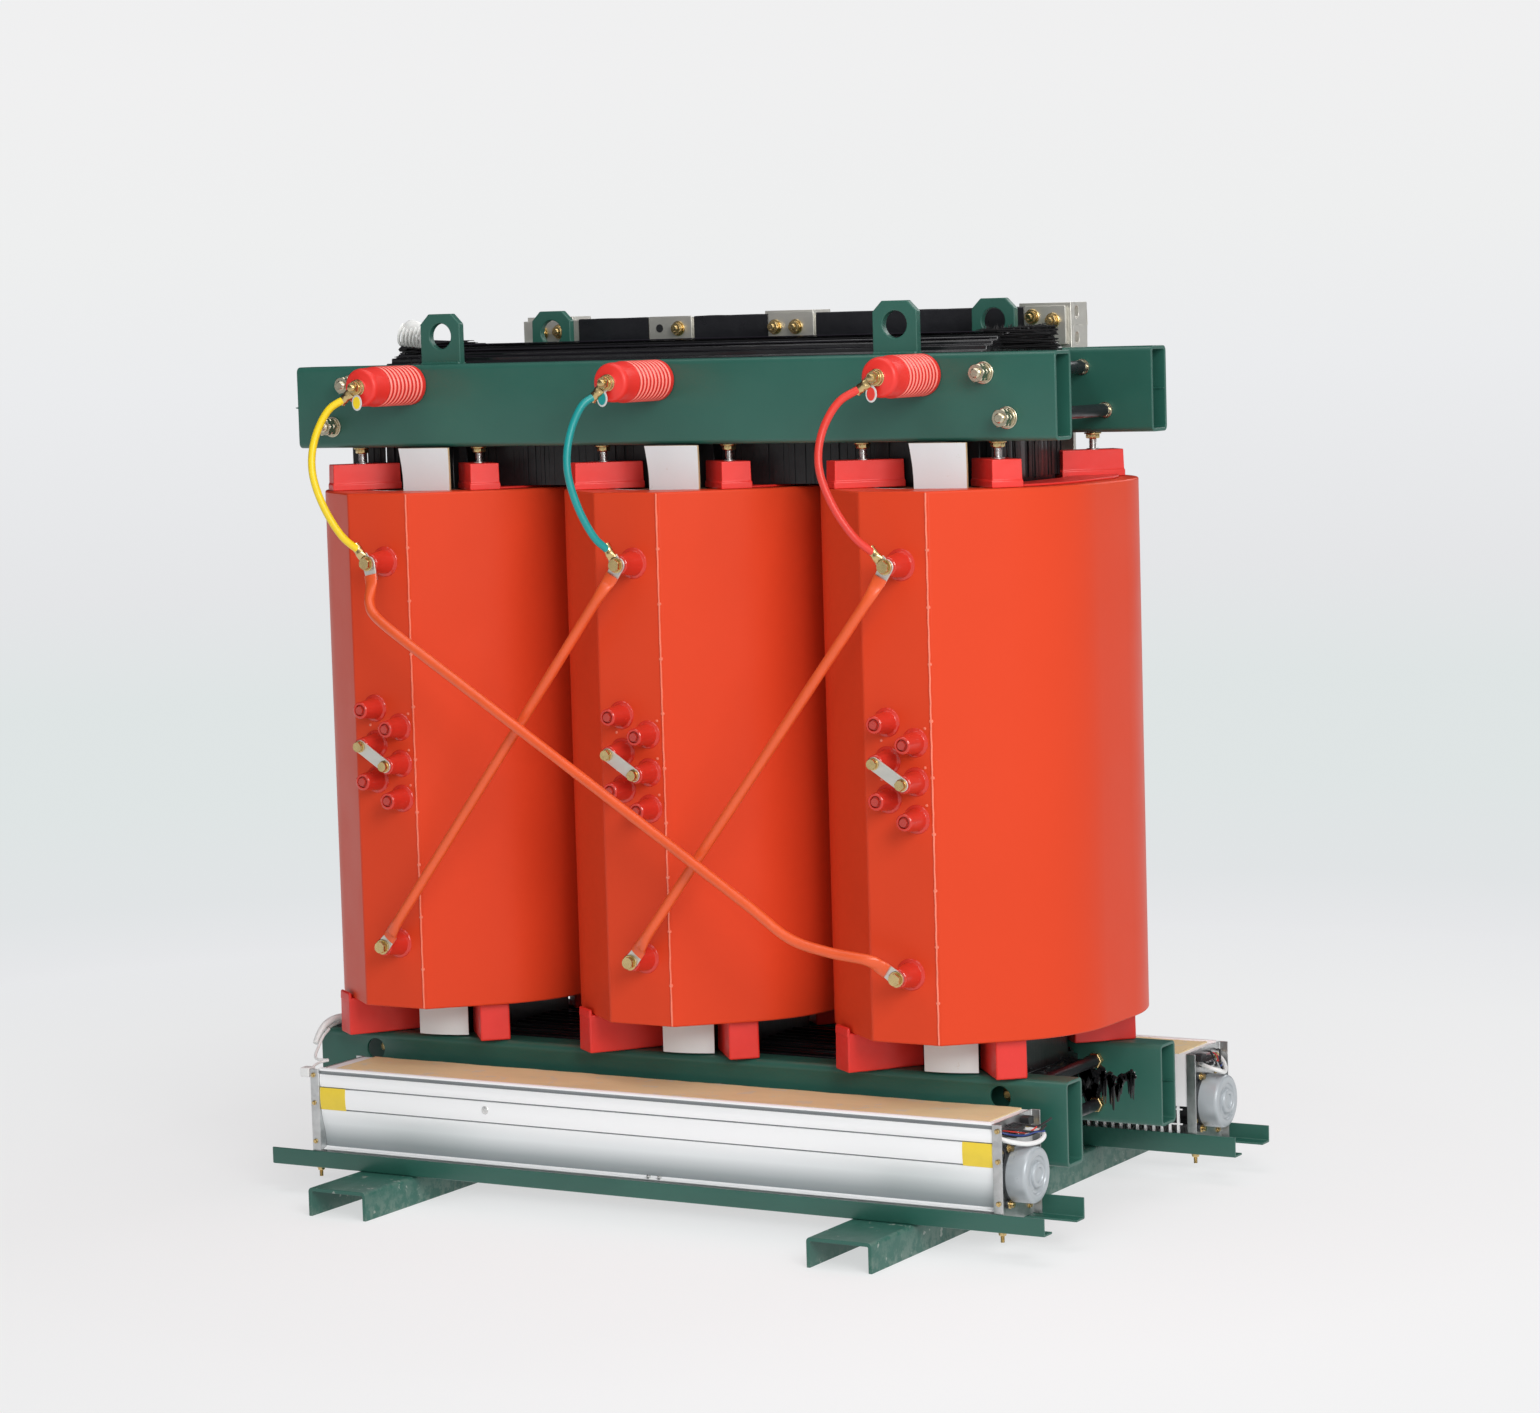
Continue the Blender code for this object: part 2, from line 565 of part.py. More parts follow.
# ---- conductors on the high-voltage side ----
def lug_plate(p, q, width, y0, y1):
    # flat strip in the XZ plane from p to q with rounded far end at p
    d = Vector((q[0] - p[0], q[1] - p[1]))
    d.normalize()
    n = Vector((-d[1], d[0]))
    h = width / 2
    pts = [(q[0] + n[0] * h * 0.8, q[1] + n[1] * h * 0.8)]
    for k in range(7):
        a = math.pi * k / 6
        w = n * (h * math.cos(a)) - d * (h * math.sin(a))
        pts.append((p[0] + w[0], p[1] + w[1]))
    pts.append((q[0] - n[0] * h * 0.8, q[1] - n[1] * h * 0.8))
    return prism(pts, "y", y0, y1)


def along(p, q, dist):
    d = Vector((q[0] - p[0], q[1] - p[1]))
    d.normalize()
    return (p[0] + d[0] * dist, p[1] + d[1] * dist)


# flexible leads from the post insulators: (material, how far the lead bows out to the left)
LEADS = {"a": (YEL, 60.0), "b": (TEAL, 48.0), "c": (CRED, 73.0)}
LEAD_FORWARD = 38.0           # how far the lead bows out to the front


def lead_route(start, end, bow):
    # both points (x, y, z); an uneven arc, fullest at about a third of the way down
    pts = []
    for s in (0.12, 0.24, 0.38, 0.52, 0.69, 0.84):
        x = start[0] + (end[0] - start[0]) * s - bow * math.sin(math.pi * s ** 0.75) ** 0.8
        y = start[1] + (end[1] - start[1]) * s - LEAD_FORWARD * math.sin(math.pi * s)
        z = start[2] + (end[2] - start[2]) * s
        pts.append((x, y, z))
    return pts


for ph, xc in COILS:
    mat, bow = LEADS[ph]
    xa, xb = xc + INS_DX, xc + TERM_DX
    ya0, ya1 = -INS_TIP - 5.3, -INS_TIP - 8.3
    yb0, yb1 = -TIP_Y - 3.6, -TIP_Y - 6.6
    ta, tb = (xa, INS_Z), (xb, TERM_ZT)
    ya, yb = ya1 - 1.0, yb1 - 1.0
    mid = lead_route((xa, ya, INS_Z), (xb, yb, TERM_ZT), bow)
    ea = along(ta, (mid[0][0], mid[0][2]), 16.0)
    eb = along(tb, (mid[-1][0], mid[-1][2]), 16.0)
    tube = tube_along([(ea[0], ya, ea[1])] + mid + [(eb[0], yb, eb[1])], 5.5, 26.0)
    fa, fb = along(ta, ea, 28.0), along(tb, eb, 28.0)
    lugs = merge(lug_plate(ta, fa, 19.0, ya1, ya0), lug_plate(tb, fb, 19.0, yb1, yb0))
    heads = merge(cyl("y", xa, INS_Z, 9.0, ya1 - 12.0, ya1 + 0.6, 6, 0.4),
                  cyl("y", xb, TERM_ZT, 9.5, yb1 - 8.0, yb1 + 0.6, 6, 0.4))
    node("hv_lead_%s" % ph, mat, tube, add=[lugs, heads])

# delta links: from the upper terminal of one coil to the lower terminal of another.
# The way points are measured from the terminal at each end.
LINK_Y = -322.0               # centre line of the two straight links
LINK_Y_OUT = -347.0           # the long link passes in front of them
DELTA = {
    "a_to_c": (-PITCH, PITCH,
               [(8.0, -322, -41.0), (12.0, -330, -57.0), (26.0, -338, -74.0), (70.0, LINK_Y_OUT, -101.0)],
               [(-214.0, LINK_Y_OUT, 97.0), (-153.0, -340, 53.0), (-97.0, -331, 35.0), (-39.0, -324, 26.0)]),
    "b_to_a": (0.0, -PITCH, [(-28.0, LINK_Y, -45.0)], [(31.0, LINK_Y, 35.0)]),
    "c_to_b": (PITCH, 0.0, [(-29.0, LINK_Y, -51.0)], [(31.0, LINK_Y, 36.0)]),
}
for key, (xs, xe, leave, arrive) in DELTA.items():
    ta, tb = (xs + TERM_DX, TERM_ZT), (xe + TERM_DX, TERM_ZB)
    head = [(ta[0] + dx, y, ta[1] + dz) for dx, y, dz in leave]
    tail = [(tb[0] + dx, y, tb[1] + dz) for dx, y, dz in arrive]
    p, q = Vector(head[-1]), Vector(tail[0])
    run = [tuple(p.lerp(q, k / 5)) for k in range(1, 5)]
    mid = head + run + tail
    y0, y1 = -TIP_Y - 0.3, -TIP_Y - 3.3
    ea = along(ta, (mid[0][0], mid[0][2]), 18.0)
    eb = along(tb, (mid[-1][0], mid[-1][2]), 18.0)
    pts = [(ea[0], -TIP_Y - 6.0, ea[1])] + mid + [(eb[0], -TIP_Y - 6.0, eb[1])]
    tube = tube_along(pts, 7.5, 34.0)
    fa, fb = along(ta, ea, 34.0), along(tb, eb, 34.0)
    lugs = merge(lug_plate(ta, fa, 21.0, y1, y0), lug_plate(tb, fb, 21.0, y1, y0))
    head_bolt = cyl("y", tb[0], tb[1], 9.5, y1 - 8.0, y1 + 0.6, 6, 0.4)
    node("delta_link_%s" % key, TUBE, tube, add=[lugs, head_bolt])

# ---- tapping links ----
for ph, xc in COILS:
    p, q = (xc + TAP_LX, TAP_LZ[1]), (xc + TAP_RX, TAP_RZ[1])
    d = Vector((q[0] - p[0], q[1] - p[1])).normalized()
    n = Vector((-d[1], d[0]))
    out = []
    for c, s in ((p, 1.0), (q, -1.0)):
        for k in range(7):
            a = math.pi * k / 6
            w = n * (9.5 * s * math.cos(a)) - d * (9.5 * s * math.sin(a))
            out.append((c[0] + w[0], c[1] + w[1]))
    plate = prism(out, "y", -TIP_Y - 3.3, -TIP_Y - 0.3)
    heads = merge(cyl("y", p[0], p[1], 8.5, -TIP_Y - 11.0, -TIP_Y - 2.0, 6, 0.4),
                  cyl("y", q[0], q[1], 8.5, -TIP_Y - 11.0, -TIP_Y - 2.0, 6, 0.4))
    node("tap_link_%s" % ph, TIN, plate, add=[heads])

# ---- low-voltage bar and terminals at the rear top ----
BY0, BY1 = 199.7, 205.7
bar = box(-470.0, 474.0, BY0, BY1, 1252.0, 1292.0)
tail = box(402.0, 474.0, BY0, BY1, 1236.0, 1253.0)
bolts = [(-435.0, 1272.0), (-402.0, 1274.0), (-183.0, 1274.0), (-12.0, 1272.5), (24.0, 1272.0),
         (421.0, 1277.0), (454.0, 1271.0)]
heads = merge(*[cyl("y", x, z, 9.0, BY0 - 9.0, BY0 + 1.0, 6, 0.3) for x, z in bolts])
node("lv_bar", SLEEVE, bar, add=[tail, heads], cut=[cyl("y", -218.0, 1275.0, 6.0, BY0 - 5, BY1 + 5, 12)])
for ph, xc in COILS:
    y0, y1 = BY1 + GAP, BY1 + GAP + 8.0
    z0 = COIL_Z1 + 4.0
    riser = box(xc - 35.0, xc + 49.0, y0, y1, z0, 1297.0)
    foot = box(xc - 35.0, xc + 35.0, 150.0, y0 + 2.0, z0, z0 + 8.0)
    flag = box(xc + 41.0, xc + 49.0, y0 + 1.0, 259.0, 1222.0, 1297.0)
    slots = merge(box(xc + 35.0, xc + 55.0, 218.0, 232.0, 1274.5, 1290.5),
                  box(xc + 35.0, xc + 55.0, 218.0, 232.0, 1236.5, 1253.5))
    node("lv_terminal_%s" % ph, TIN, riser, add=[foot, flag], cut=[slots])


# ---- cross-flow fans ----
def fan(tag, yc, mirror, dx):
    # section coordinate o grows outward, away from the core
    def o2y(o):
        return yc + o if mirror else yc - o

    outer = [(-57.0, 112.0), (-57.0, 190.0), (52.0, 190.0), (57.0, 180.0), (58.0, 150.0),
             (56.0, 125.0), (50.0, 98.0), (47.0, 72.0), (47.0, 46.0), (-57.0, 46.0), (-57.0, 60.0)]
    inner = [(-54.5, 60.0), (-54.5, 48.5), (44.5, 48.5), (44.5, 72.0), (47.5, 98.0),
             (53.5, 125.0), (55.5, 150.0), (54.6, 178.5), (51.0, 187.5), (-54.5, 187.5),
             (-54.5, 112.0)]
    sec = [(o2y(o), z) for o, z in outer + inner]
    node("%s_fan_housing" % tag, ALU, prism(sec, "x", FAN_X0 + dx, FAN_X1 + dx))
    h = FAN_HALF
    for side, xa, sg in (("left", FAN_X0 + dx, -1.0), ("right", FAN_X1 + dx, 1.0)):
        x0, x1, x2 = xa + sg * 0.4, xa + sg * 3.0, xa + sg * 15.5
        out = [(x2, h), (x0, h), (x0, -h), (x2, -h), (x2, -h + 2.5), (x1, -h + 2.5),
               (x1, h - 2.5), (x2, h - 2.5)]
        v, f = prism([(x, o2y(o)) for x, o in out], "z", RAIL_Z + 3.3, 191.0)
        node("%s_fan_end_%s" % (tag, side), GALV, (v, f))
    xm = FAN_X1 + dx + 3.3
    mot = revolve([(37.5, xm), (39.5, xm + 2), (39.5, xm + 32), (36.5, xm + 36), (17.0, xm + 36),
                   (15.0, xm + 34), (11.5, xm + 34), (10.5, xm + 39)], "x", yc, FAN_AXIS_Z, 20)
    node("%s_fan_motor" % tag, MOTOR, mot)
    xa, xb = FAN_X0 + dx + 5.0, FAN_X1 + dx - 5.0
    xmid = (xa + xb) / 2
    discs = merge(cyl("x", yc, FAN_AXIS_Z, IMP_R, xmid - 1.5, xmid + 1.5, 24),
                  cyl("x", yc, FAN_AXIS_Z, IMP_R, xb - 3.0, xb, 24))
    blades = []
    nb = 16
    for k in range(nb):
        t = 2 * math.pi * (k + 0.25) / nb
        ux, uy = math.cos(t), math.sin(t)
        lean = 0.45
        dxn, dyn = math.cos(t + lean), math.sin(t + lean)
        r0 = 28.5
        p0 = (yc + ux * r0, FAN_AXIS_Z + uy * r0)
        p1 = (p0[0] + dxn * 10.0, p0[1] + dyn * 10.0)
        nx, ny = -dyn * 0.8, dxn * 0.8
        blades.append(prism([(p0[0] - nx, p0[1] - ny), (p1[0] - nx, p1[1] - ny),
                             (p1[0] + nx, p1[1] + ny), (p0[0] + nx, p0[1] + ny)], "x",
                            xa + 1.0, xb - 1.0))
    stubs = merge(cyl("x", yc, FAN_AXIS_Z, 5.0, xa - 4.6, xa + 1.0, 10),
                  cyl("x", yc, FAN_AXIS_Z, 5.0, xb - 1.0, xb + 4.6, 10))
    node("%s_fan_impeller" % tag, BLACK,
         cyl("x", yc, FAN_AXIS_Z, IMP_R, xa, xa + 3.0, 24),
         add=[merge(*blades), discs, stubs],
         origin=(xmid, yc, FAN_AXIS_Z))


fan("front", F_YC, False, 0.0)
fan("rear", R_YC, True, FAN_SHIFT)

for c in [c for c in bpy.data.meshes if c.users == 0]:
    bpy.data.meshes.remove(c)
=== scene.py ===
# Looks for a three-phase cast-resin dry-type transformer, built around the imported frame.
# Lengths in the helpers are millimetres measured from the middle coil's centre line.
import math
import random

import bpy
import bmesh
from mathutils import Matrix, Vector, noise


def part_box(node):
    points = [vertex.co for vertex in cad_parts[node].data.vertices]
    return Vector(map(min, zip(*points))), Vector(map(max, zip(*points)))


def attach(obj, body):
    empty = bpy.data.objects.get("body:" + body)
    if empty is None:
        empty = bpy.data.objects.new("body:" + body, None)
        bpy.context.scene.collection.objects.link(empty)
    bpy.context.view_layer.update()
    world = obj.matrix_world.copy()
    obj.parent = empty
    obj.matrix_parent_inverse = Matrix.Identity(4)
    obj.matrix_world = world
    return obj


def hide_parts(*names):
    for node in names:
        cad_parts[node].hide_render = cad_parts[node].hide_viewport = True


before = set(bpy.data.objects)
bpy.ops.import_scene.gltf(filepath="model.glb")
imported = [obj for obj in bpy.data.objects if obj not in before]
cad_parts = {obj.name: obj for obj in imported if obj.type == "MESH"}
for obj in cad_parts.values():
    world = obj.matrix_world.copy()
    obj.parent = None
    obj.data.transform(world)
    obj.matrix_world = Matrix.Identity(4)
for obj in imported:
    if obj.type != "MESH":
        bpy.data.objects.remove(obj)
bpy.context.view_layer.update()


def cad(node):
    lo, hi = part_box(node)
    return lo * 1000.0, hi * 1000.0


_lo, _hi = cad("hv_coil_b")
OX = -(_lo.x + _hi.x) / 2            # the middle coil's centre line, from the frame's origin
COIL_Z0, COIL_Z1 = _lo.z, _hi.z
HV_R = (_hi.x - _lo.x) / 2
_a, _c = cad("hv_coil_a"), cad("hv_coil_c")
PITCH = ((_c[0].x + _c[1].x) - (_a[0].x + _a[1].x)) / 4
COILS = (("a", -PITCH), ("b", 0.0), ("c", PITCH))
UF, UR = cad("upper_clamp_front"), cad("upper_clamp_rear")
LF, LR = cad("lower_clamp_front"), cad("lower_clamp_rear")
FRONT, INNER = -UF[0].y, -UF[1].y    # clamp tube faces, +/- Y
UX0, UX1, UZ0, UZ1 = UF[0].x + OX, UF[1].x + OX, UF[0].z, 1232.0
LUG_TOP = UF[1].z
LX0, LX1, LZ0, LZ1 = LF[0].x + OX, LF[1].x + OX, LF[0].z, LF[1].z
YOKE_X = (cad("core")[1].x - cad("core")[0].x) / 2
OVAL_A = 45.0
PANEL_Y, PANEL_L, PANEL_R = 271.4, -49.2, 57.6
TERM_DX, TERM_ZT, TERM_ZB, TIP_Y = 14.0, 946.0, 380.0, 310.0
TAP_LX, TAP_RX = -13.7, 29.5
TAP_LZ, TAP_RZ = (729.0, 676.0, 623.0), (702.0, 648.0, 596.0)
INS_DX, INS_Z, INS_TIP = 7.5, 1202.5, 310.0
RAIL_Z = 42.6
FAN_HALF, FAN_AXIS_Z = 59.75, 113.0
ROD_UP, ROD_LO = ((532.0, 1204.0), (567.0, 1142.0)), ((531.0, 198.0), (531.0, 133.0))
rng = random.Random(7)


# ------------------------------------------------------------------ materials
def _mat(name):
    m = bpy.data.materials.new(name)
    m.use_nodes = True
    t = m.node_tree
    return m, t, t.nodes.get("Principled BSDF")


def n(t, kind, **values):
    x = t.nodes.new(kind)
    for k, v in values.items():
        if k in x.inputs:
            x.inputs[k].default_value = v
        else:
            setattr(x, k, v)
    return x


def coords(t, scale=(1, 1, 1), rot=(0, 0, 0)):
    c = n(t, "ShaderNodeTexCoord")
    m = n(t, "ShaderNodeMapping")
    m.inputs["Scale"].default_value = scale
    m.inputs["Rotation"].default_value = rot
    t.links.new(c.outputs["Object"], m.inputs["Vector"])
    return m.outputs["Vector"]


def noise_tex(t, vec, scale, detail=4.0, rough=0.55, distort=0.0):
    x = n(t, "ShaderNodeTexNoise")
    x.inputs["Scale"].default_value = scale
    x.inputs["Detail"].default_value = detail
    x.inputs["Roughness"].default_value = rough
    x.inputs["Distortion"].default_value = distort
    t.links.new(vec, x.inputs["Vector"])
    return x.outputs["Fac"]


def ramp(t, fac, stops):
    r = n(t, "ShaderNodeValToRGB")
    while len(r.color_ramp.elements) < len(stops):
        r.color_ramp.elements.new(0.5)
    for e, (p, c) in zip(r.color_ramp.elements, stops):
        e.position = p
        e.color = (c[0], c[1], c[2], 1.0)
    t.links.new(fac, r.inputs["Fac"])
    return r.outputs["Color"]


def rng_map(t, fac, a, b, c, d):
    r = n(t, "ShaderNodeMapRange")
    for k, v in (("From Min", a), ("From Max", b), ("To Min", c), ("To Max", d)):
        r.inputs[k].default_value = v
    t.links.new(fac, r.inputs["Value"])
    return r.outputs["Result"]


def mixc(t, fac, a, b, mode="MIX"):
    x = n(t, "ShaderNodeMix", data_type="RGBA", blend_type=mode)
    if hasattr(fac, "links"):
        t.links.new(fac, x.inputs[0])
    else:
        x.inputs[0].default_value = fac
    for sock, v in ((x.inputs[6], a), (x.inputs[7], b)):
        if hasattr(v, "links"):
            t.links.new(v, sock)
        else:
            sock.default_value = (v[0], v[1], v[2], 1.0)
    return x.outputs[2]


def mult(t, a, b):
    x = n(t, "ShaderNodeMath", operation="MULTIPLY")
    for s, v in ((x.inputs[0], a), (x.inputs[1], b)):
        if hasattr(v, "links"):
            t.links.new(v, s)
        else:
            s.default_value = v
    return x.outputs[0]


def bump(t, b, height, strength, dist, chain=None):
    x = n(t, "ShaderNodeBump")
    x.inputs["Strength"].default_value = strength
    x.inputs["Distance"].default_value = dist
    t.links.new(height, x.inputs["Height"])
    if chain is not None:
        t.links.new(chain, x.inputs["Normal"])
    t.links.new(x.outputs["Normal"], b.inputs["Normal"])
    return x.outputs["Normal"]


def shade(c, k):
    return tuple(min(1.0, v * k) for v in c)


def surface(name, base, rough, metal=0.0, var=0.12, vscale=9.0, grain=(1, 1, 1), fine=320.0, fine_s=0.15,
            fine_d=0.0004, wave=0.0, wave_scale=5.0, coat=0.0, coat_r=0.1, rvar=0.08, spec=0.5,
            wear=None, wear_at=0.56, speck=None, aniso=0.0, sheen=0.0):
    m, t, b = _mat(name)
    v = coords(t, grain)
    big = noise_tex(t, v, vscale, 5.0, 0.6)
    col = ramp(t, big, [(0.25, shade(base, 1 - var)), (0.5, base), (0.78, shade(base, 1 + var))])
    vf = coords(t)
    if speck:
        s = noise_tex(t, vf, speck[1], 3.0, 0.7)
        col = mixc(t, rng_map(t, s, speck[2], speck[2] + 0.03, 0.0, speck[3]), col, speck[0])
    if wear:
        g = n(t, "ShaderNodeNewGeometry")
        w = noise_tex(t, vf, 60.0, 6.0, 0.7)
        e = rng_map(t, g.outputs["Pointiness"], wear_at, wear_at + 0.08, 0.0, 1.0)
        e = mult(t, e, rng_map(t, w, 0.44, 0.56, 0.0, 1.0))
        col = mixc(t, e, col, wear)
    t.links.new(col, b.inputs["Base Color"])
    r = noise_tex(t, v, vscale * 3.1, 4.0, 0.6)
    t.links.new(rng_map(t, r, 0.3, 0.7, max(0.03, rough - rvar), min(1.0, rough + rvar)), b.inputs["Roughness"])
    b.inputs["Metallic"].default_value = metal
    b.inputs["Specular IOR Level"].default_value = spec
    if coat:
        b.inputs["Coat Weight"].default_value = coat
        b.inputs["Coat Roughness"].default_value = coat_r
    if aniso:
        b.inputs["Anisotropic"].default_value = aniso
    if sheen:
        b.inputs["Sheen Weight"].default_value = sheen
    nrm = None
    if wave:
        nrm = bump(t, b, noise_tex(t, vf, wave_scale, 2.0, 0.5), 1.0, wave)
    bump(t, b, noise_tex(t, coords(t, grain), fine, 3.0, 0.6), fine_s, fine_d, nrm)
    return m


M = {}
M["resin"] = surface("resin", (0.69, 0.058, 0.018), 0.36, var=0.03, vscale=2.6, fine=120.0, fine_s=0.06,
                     fine_d=0.0004, wave=0.005, wave_scale=3.5, rvar=0.03, spec=0.13)
M["boss"] = surface("boss_red", (0.60, 0.034, 0.020), 0.20, var=0.07, vscale=22.0, fine=200.0, fine_s=0.06,
                    fine_d=0.0003, coat=0.35, coat_r=0.08, spec=0.4)
# painted highlight: the seam bead is coloured lighter than the resin around it to show its shine
M["seam"] = surface("seam_bead_painted_highlight", (0.84, 0.20, 0.12), 0.22, var=0.12, vscale=40.0, fine=200.0, fine_s=0.1, coat=0.5)
# painted highlight: the insulator's groove faces are coloured a pale pink so they read as bright lines
M["groove"] = surface("groove_painted_highlight", (0.95, 0.27, 0.22), 0.40, var=0.08, vscale=40.0, fine=300.0)
M["resin_tap"] = surface("resin_tap", (0.46, 0.030, 0.018), 0.26, var=0.12, vscale=30.0, fine=300.0, fine_s=0.12,
                         coat=0.4, coat_r=0.1)
M["red"] = surface("red_moulding", (0.76, 0.030, 0.021), 0.42, var=0.06, vscale=14.0, fine=190.0, fine_s=0.12,
                   fine_d=0.0005, wave=0.0010, wave_scale=22.0, coat=0.05, coat_r=0.25)
M["green"] = surface("green_paint", (0.023, 0.108, 0.081), 0.36, var=0.12, vscale=5.0, grain=(1, 1, 1), fine=520.0,
                     fine_s=0.25, fine_d=0.0003, wave=0.0008, wave_scale=18.0, coat=0.12, coat_r=0.3,
                     speck=((0.10, 0.20, 0.17), 420.0, 0.72, 0.4), wear=(0.30, 0.36, 0.32), wear_at=0.575)
M["green_scuffed"] = surface("green_paint_scuffed", (0.026, 0.116, 0.088), 0.40, var=0.16, vscale=7.0, fine=420.0,
                             fine_s=0.3, fine_d=0.0003, speck=((0.34, 0.38, 0.34), 46.0, 0.635, 0.75),
                             wear=(0.42, 0.45, 0.40), wear_at=0.55)
M["zinc"] = surface("zinc_yellow", (0.62, 0.56, 0.42), 0.28, 1.0, var=0.16, vscale=60.0, fine=500.0, fine_s=0.2,
                    fine_d=0.0002)
M["brass"] = surface("brass", (0.66, 0.49, 0.23), 0.26, 1.0, var=0.12, vscale=45.0, fine=600.0, fine_s=0.15,
                     fine_d=0.0002)
M["steel"] = surface("white_zinc", (0.74, 0.74, 0.73), 0.27, 1.0, var=0.10, vscale=50.0, fine=500.0, fine_s=0.2,
                     fine_d=0.0002)
M["tin"] = surface("tinned_copper", (0.70, 0.68, 0.62), 0.36, 0.75, var=0.06, vscale=26.0, grain=(1, 1, 3), fine=260.0,
                   fine_s=0.05, fine_d=0.0001)
M["sleeve"] = surface("black_sleeve", (0.013, 0.013, 0.016), 0.34, var=0.3, vscale=16.0, fine=150.0, fine_s=0.25,
                      fine_d=0.0008, wave=0.0016, wave_scale=26.0, speck=((0.11, 0.12, 0.14), 40.0, 0.70, 0.5))
M["fringe"] = surface("fringe", (0.010, 0.010, 0.011), 0.42, var=0.4, vscale=60.0, fine=300.0, fine_s=0.3)
M["board"] = surface("white_board", (0.74, 0.80, 0.81), 0.50, var=0.035, vscale=8.0, fine=380.0, fine_s=0.12,
                     speck=((0.60, 0.58, 0.52), 70.0, 0.70, 0.35))
M["board_edge"] = surface("board_edge", (0.50, 0.39, 0.22), 0.7, var=0.25, vscale=20.0, grain=(1, 6, 1), fine=500.0,
                          fine_s=0.4)
M["tube"] = surface("shrink_tube", (0.76, 0.098, 0.022), 0.36, var=0.08, vscale=14.0, fine=120.0, fine_s=0.14,
                    fine_d=0.0006, wave=0.0014, wave_scale=30.0, coat=0.1, coat_r=0.3)
M["yellow"] = surface("cable_yellow", (0.86, 0.62, 0.012), 0.34, var=0.06, vscale=18.0, fine=200.0, fine_s=0.12)
M["teal"] = surface("cable_teal", (0.006, 0.270, 0.262), 0.34, var=0.10, vscale=18.0, fine=200.0, fine_s=0.12)
M["cred"] = surface("cable_red", (0.70, 0.042, 0.028), 0.34, var=0.08, vscale=18.0, fine=200.0, fine_s=0.12)
M["white_wire"] = surface("white_wire", (0.80, 0.80, 0.79), 0.38, var=0.04, vscale=40.0, fine=300.0)
M["black_plastic"] = surface("black_plastic", (0.018, 0.018, 0.020), 0.4, var=0.2, vscale=40.0, fine=300.0)
M["blue_wire"] = surface("blue_wire", (0.02, 0.05, 0.22), 0.4, var=0.1, vscale=40.0, fine=300.0)
M["alu"] = surface("fan_aluminium", (0.96, 0.965, 0.97), 0.36, 0.12, var=0.02, vscale=3.0, grain=(0.3, 6, 6),
                   fine=60.0, fine_s=0.04, fine_d=0.0002, rvar=0.03)
M["galv"] = surface("galvanised", (0.60, 0.61, 0.61), 0.36, 0.95, var=0.16, vscale=55.0, fine=300.0, fine_s=0.15,
                    speck=((0.45, 0.46, 0.47), 34.0, 0.60, 0.4), wear=(0.80, 0.80, 0.80), wear_at=0.57)
M["motor"] = surface("motor_grey", (0.44, 0.475, 0.50), 0.34, 0.15, var=0.06, vscale=16.0, fine=260.0, fine_s=0.18,
                     fine_d=0.0004, coat=0.2, coat_r=0.2)
M["motor_dark"] = surface("motor_dark", (0.06, 0.065, 0.07), 0.45, 0.3, var=0.2, vscale=40.0, grain=(12, 1, 1),
                          fine=300.0, fine_s=0.3)
M["impeller"] = surface("impeller", (0.030, 0.031, 0.033), 0.38, 0.5, var=0.2, vscale=30.0, fine=300.0)
M["paper"] = surface("kraft_strip", (0.78, 0.62, 0.35), 0.62, var=0.07, vscale=7.0, grain=(1, 3, 1), fine=240.0,
                     fine_s=0.25, fine_d=0.0005, wave=0.0012, wave_scale=14.0,
                     speck=((0.52, 0.60, 0.68), 30.0, 0.60, 0.30))
M["sticker"] = surface("yellow_sticker", (0.84, 0.62, 0.05), 0.4, var=0.05, vscale=40.0, fine=300.0, fine_s=0.1)
M["grey_rim"] = surface("tag_rim", (0.60, 0.61, 0.60), 0.38, var=0.08, vscale=60.0, fine=400.0)
M["tape"] = surface("white_tape", (0.82, 0.82, 0.80), 0.55, var=0.06, vscale=40.0, fine=300.0, fine_s=0.4,
                    fine_d=0.0008)
M["varnish"] = surface("varnish", (0.008, 0.008, 0.009), 0.16, var=0.4, vscale=20.0, fine=60.0, fine_s=0.3,
                       fine_d=0.001, coat=0.6, coat_r=0.05)


def laminated(name, axis_scale, dark, light, rough, line=900.0):
    # stacked sheets: fine lines across the stack, with a streaky coat of varnish
    m, t, b = _mat(name)
    v = coords(t, axis_scale)
    w = noise_tex(t, v, line, 2.0, 0.6)
    s = noise_tex(t, v, line * 0.12, 4.0, 0.65)
    col = ramp(t, s, [(0.30, dark), (0.62, shade(dark, 2.0)), (0.80, light)])
    col = mixc(t, rng_map(t, w, 0.35, 0.65, 0.0, 0.5), col, dark)
    t.links.new(col, b.inputs["Base Color"])
    t.links.new(rng_map(t, s, 0.3, 0.7, rough - 0.06, rough + 0.10), b.inputs["Roughness"])
    b.inputs["Coat Weight"].default_value = 0.5
    b.inputs["Coat Roughness"].default_value = 0.12
    x = bump(t, b, noise_tex(t, coords(t), 34.0, 3.0, 0.5), 0.35, 0.0012)
    bump(t, b, w, 0.55, 0.0006, x)
    return m


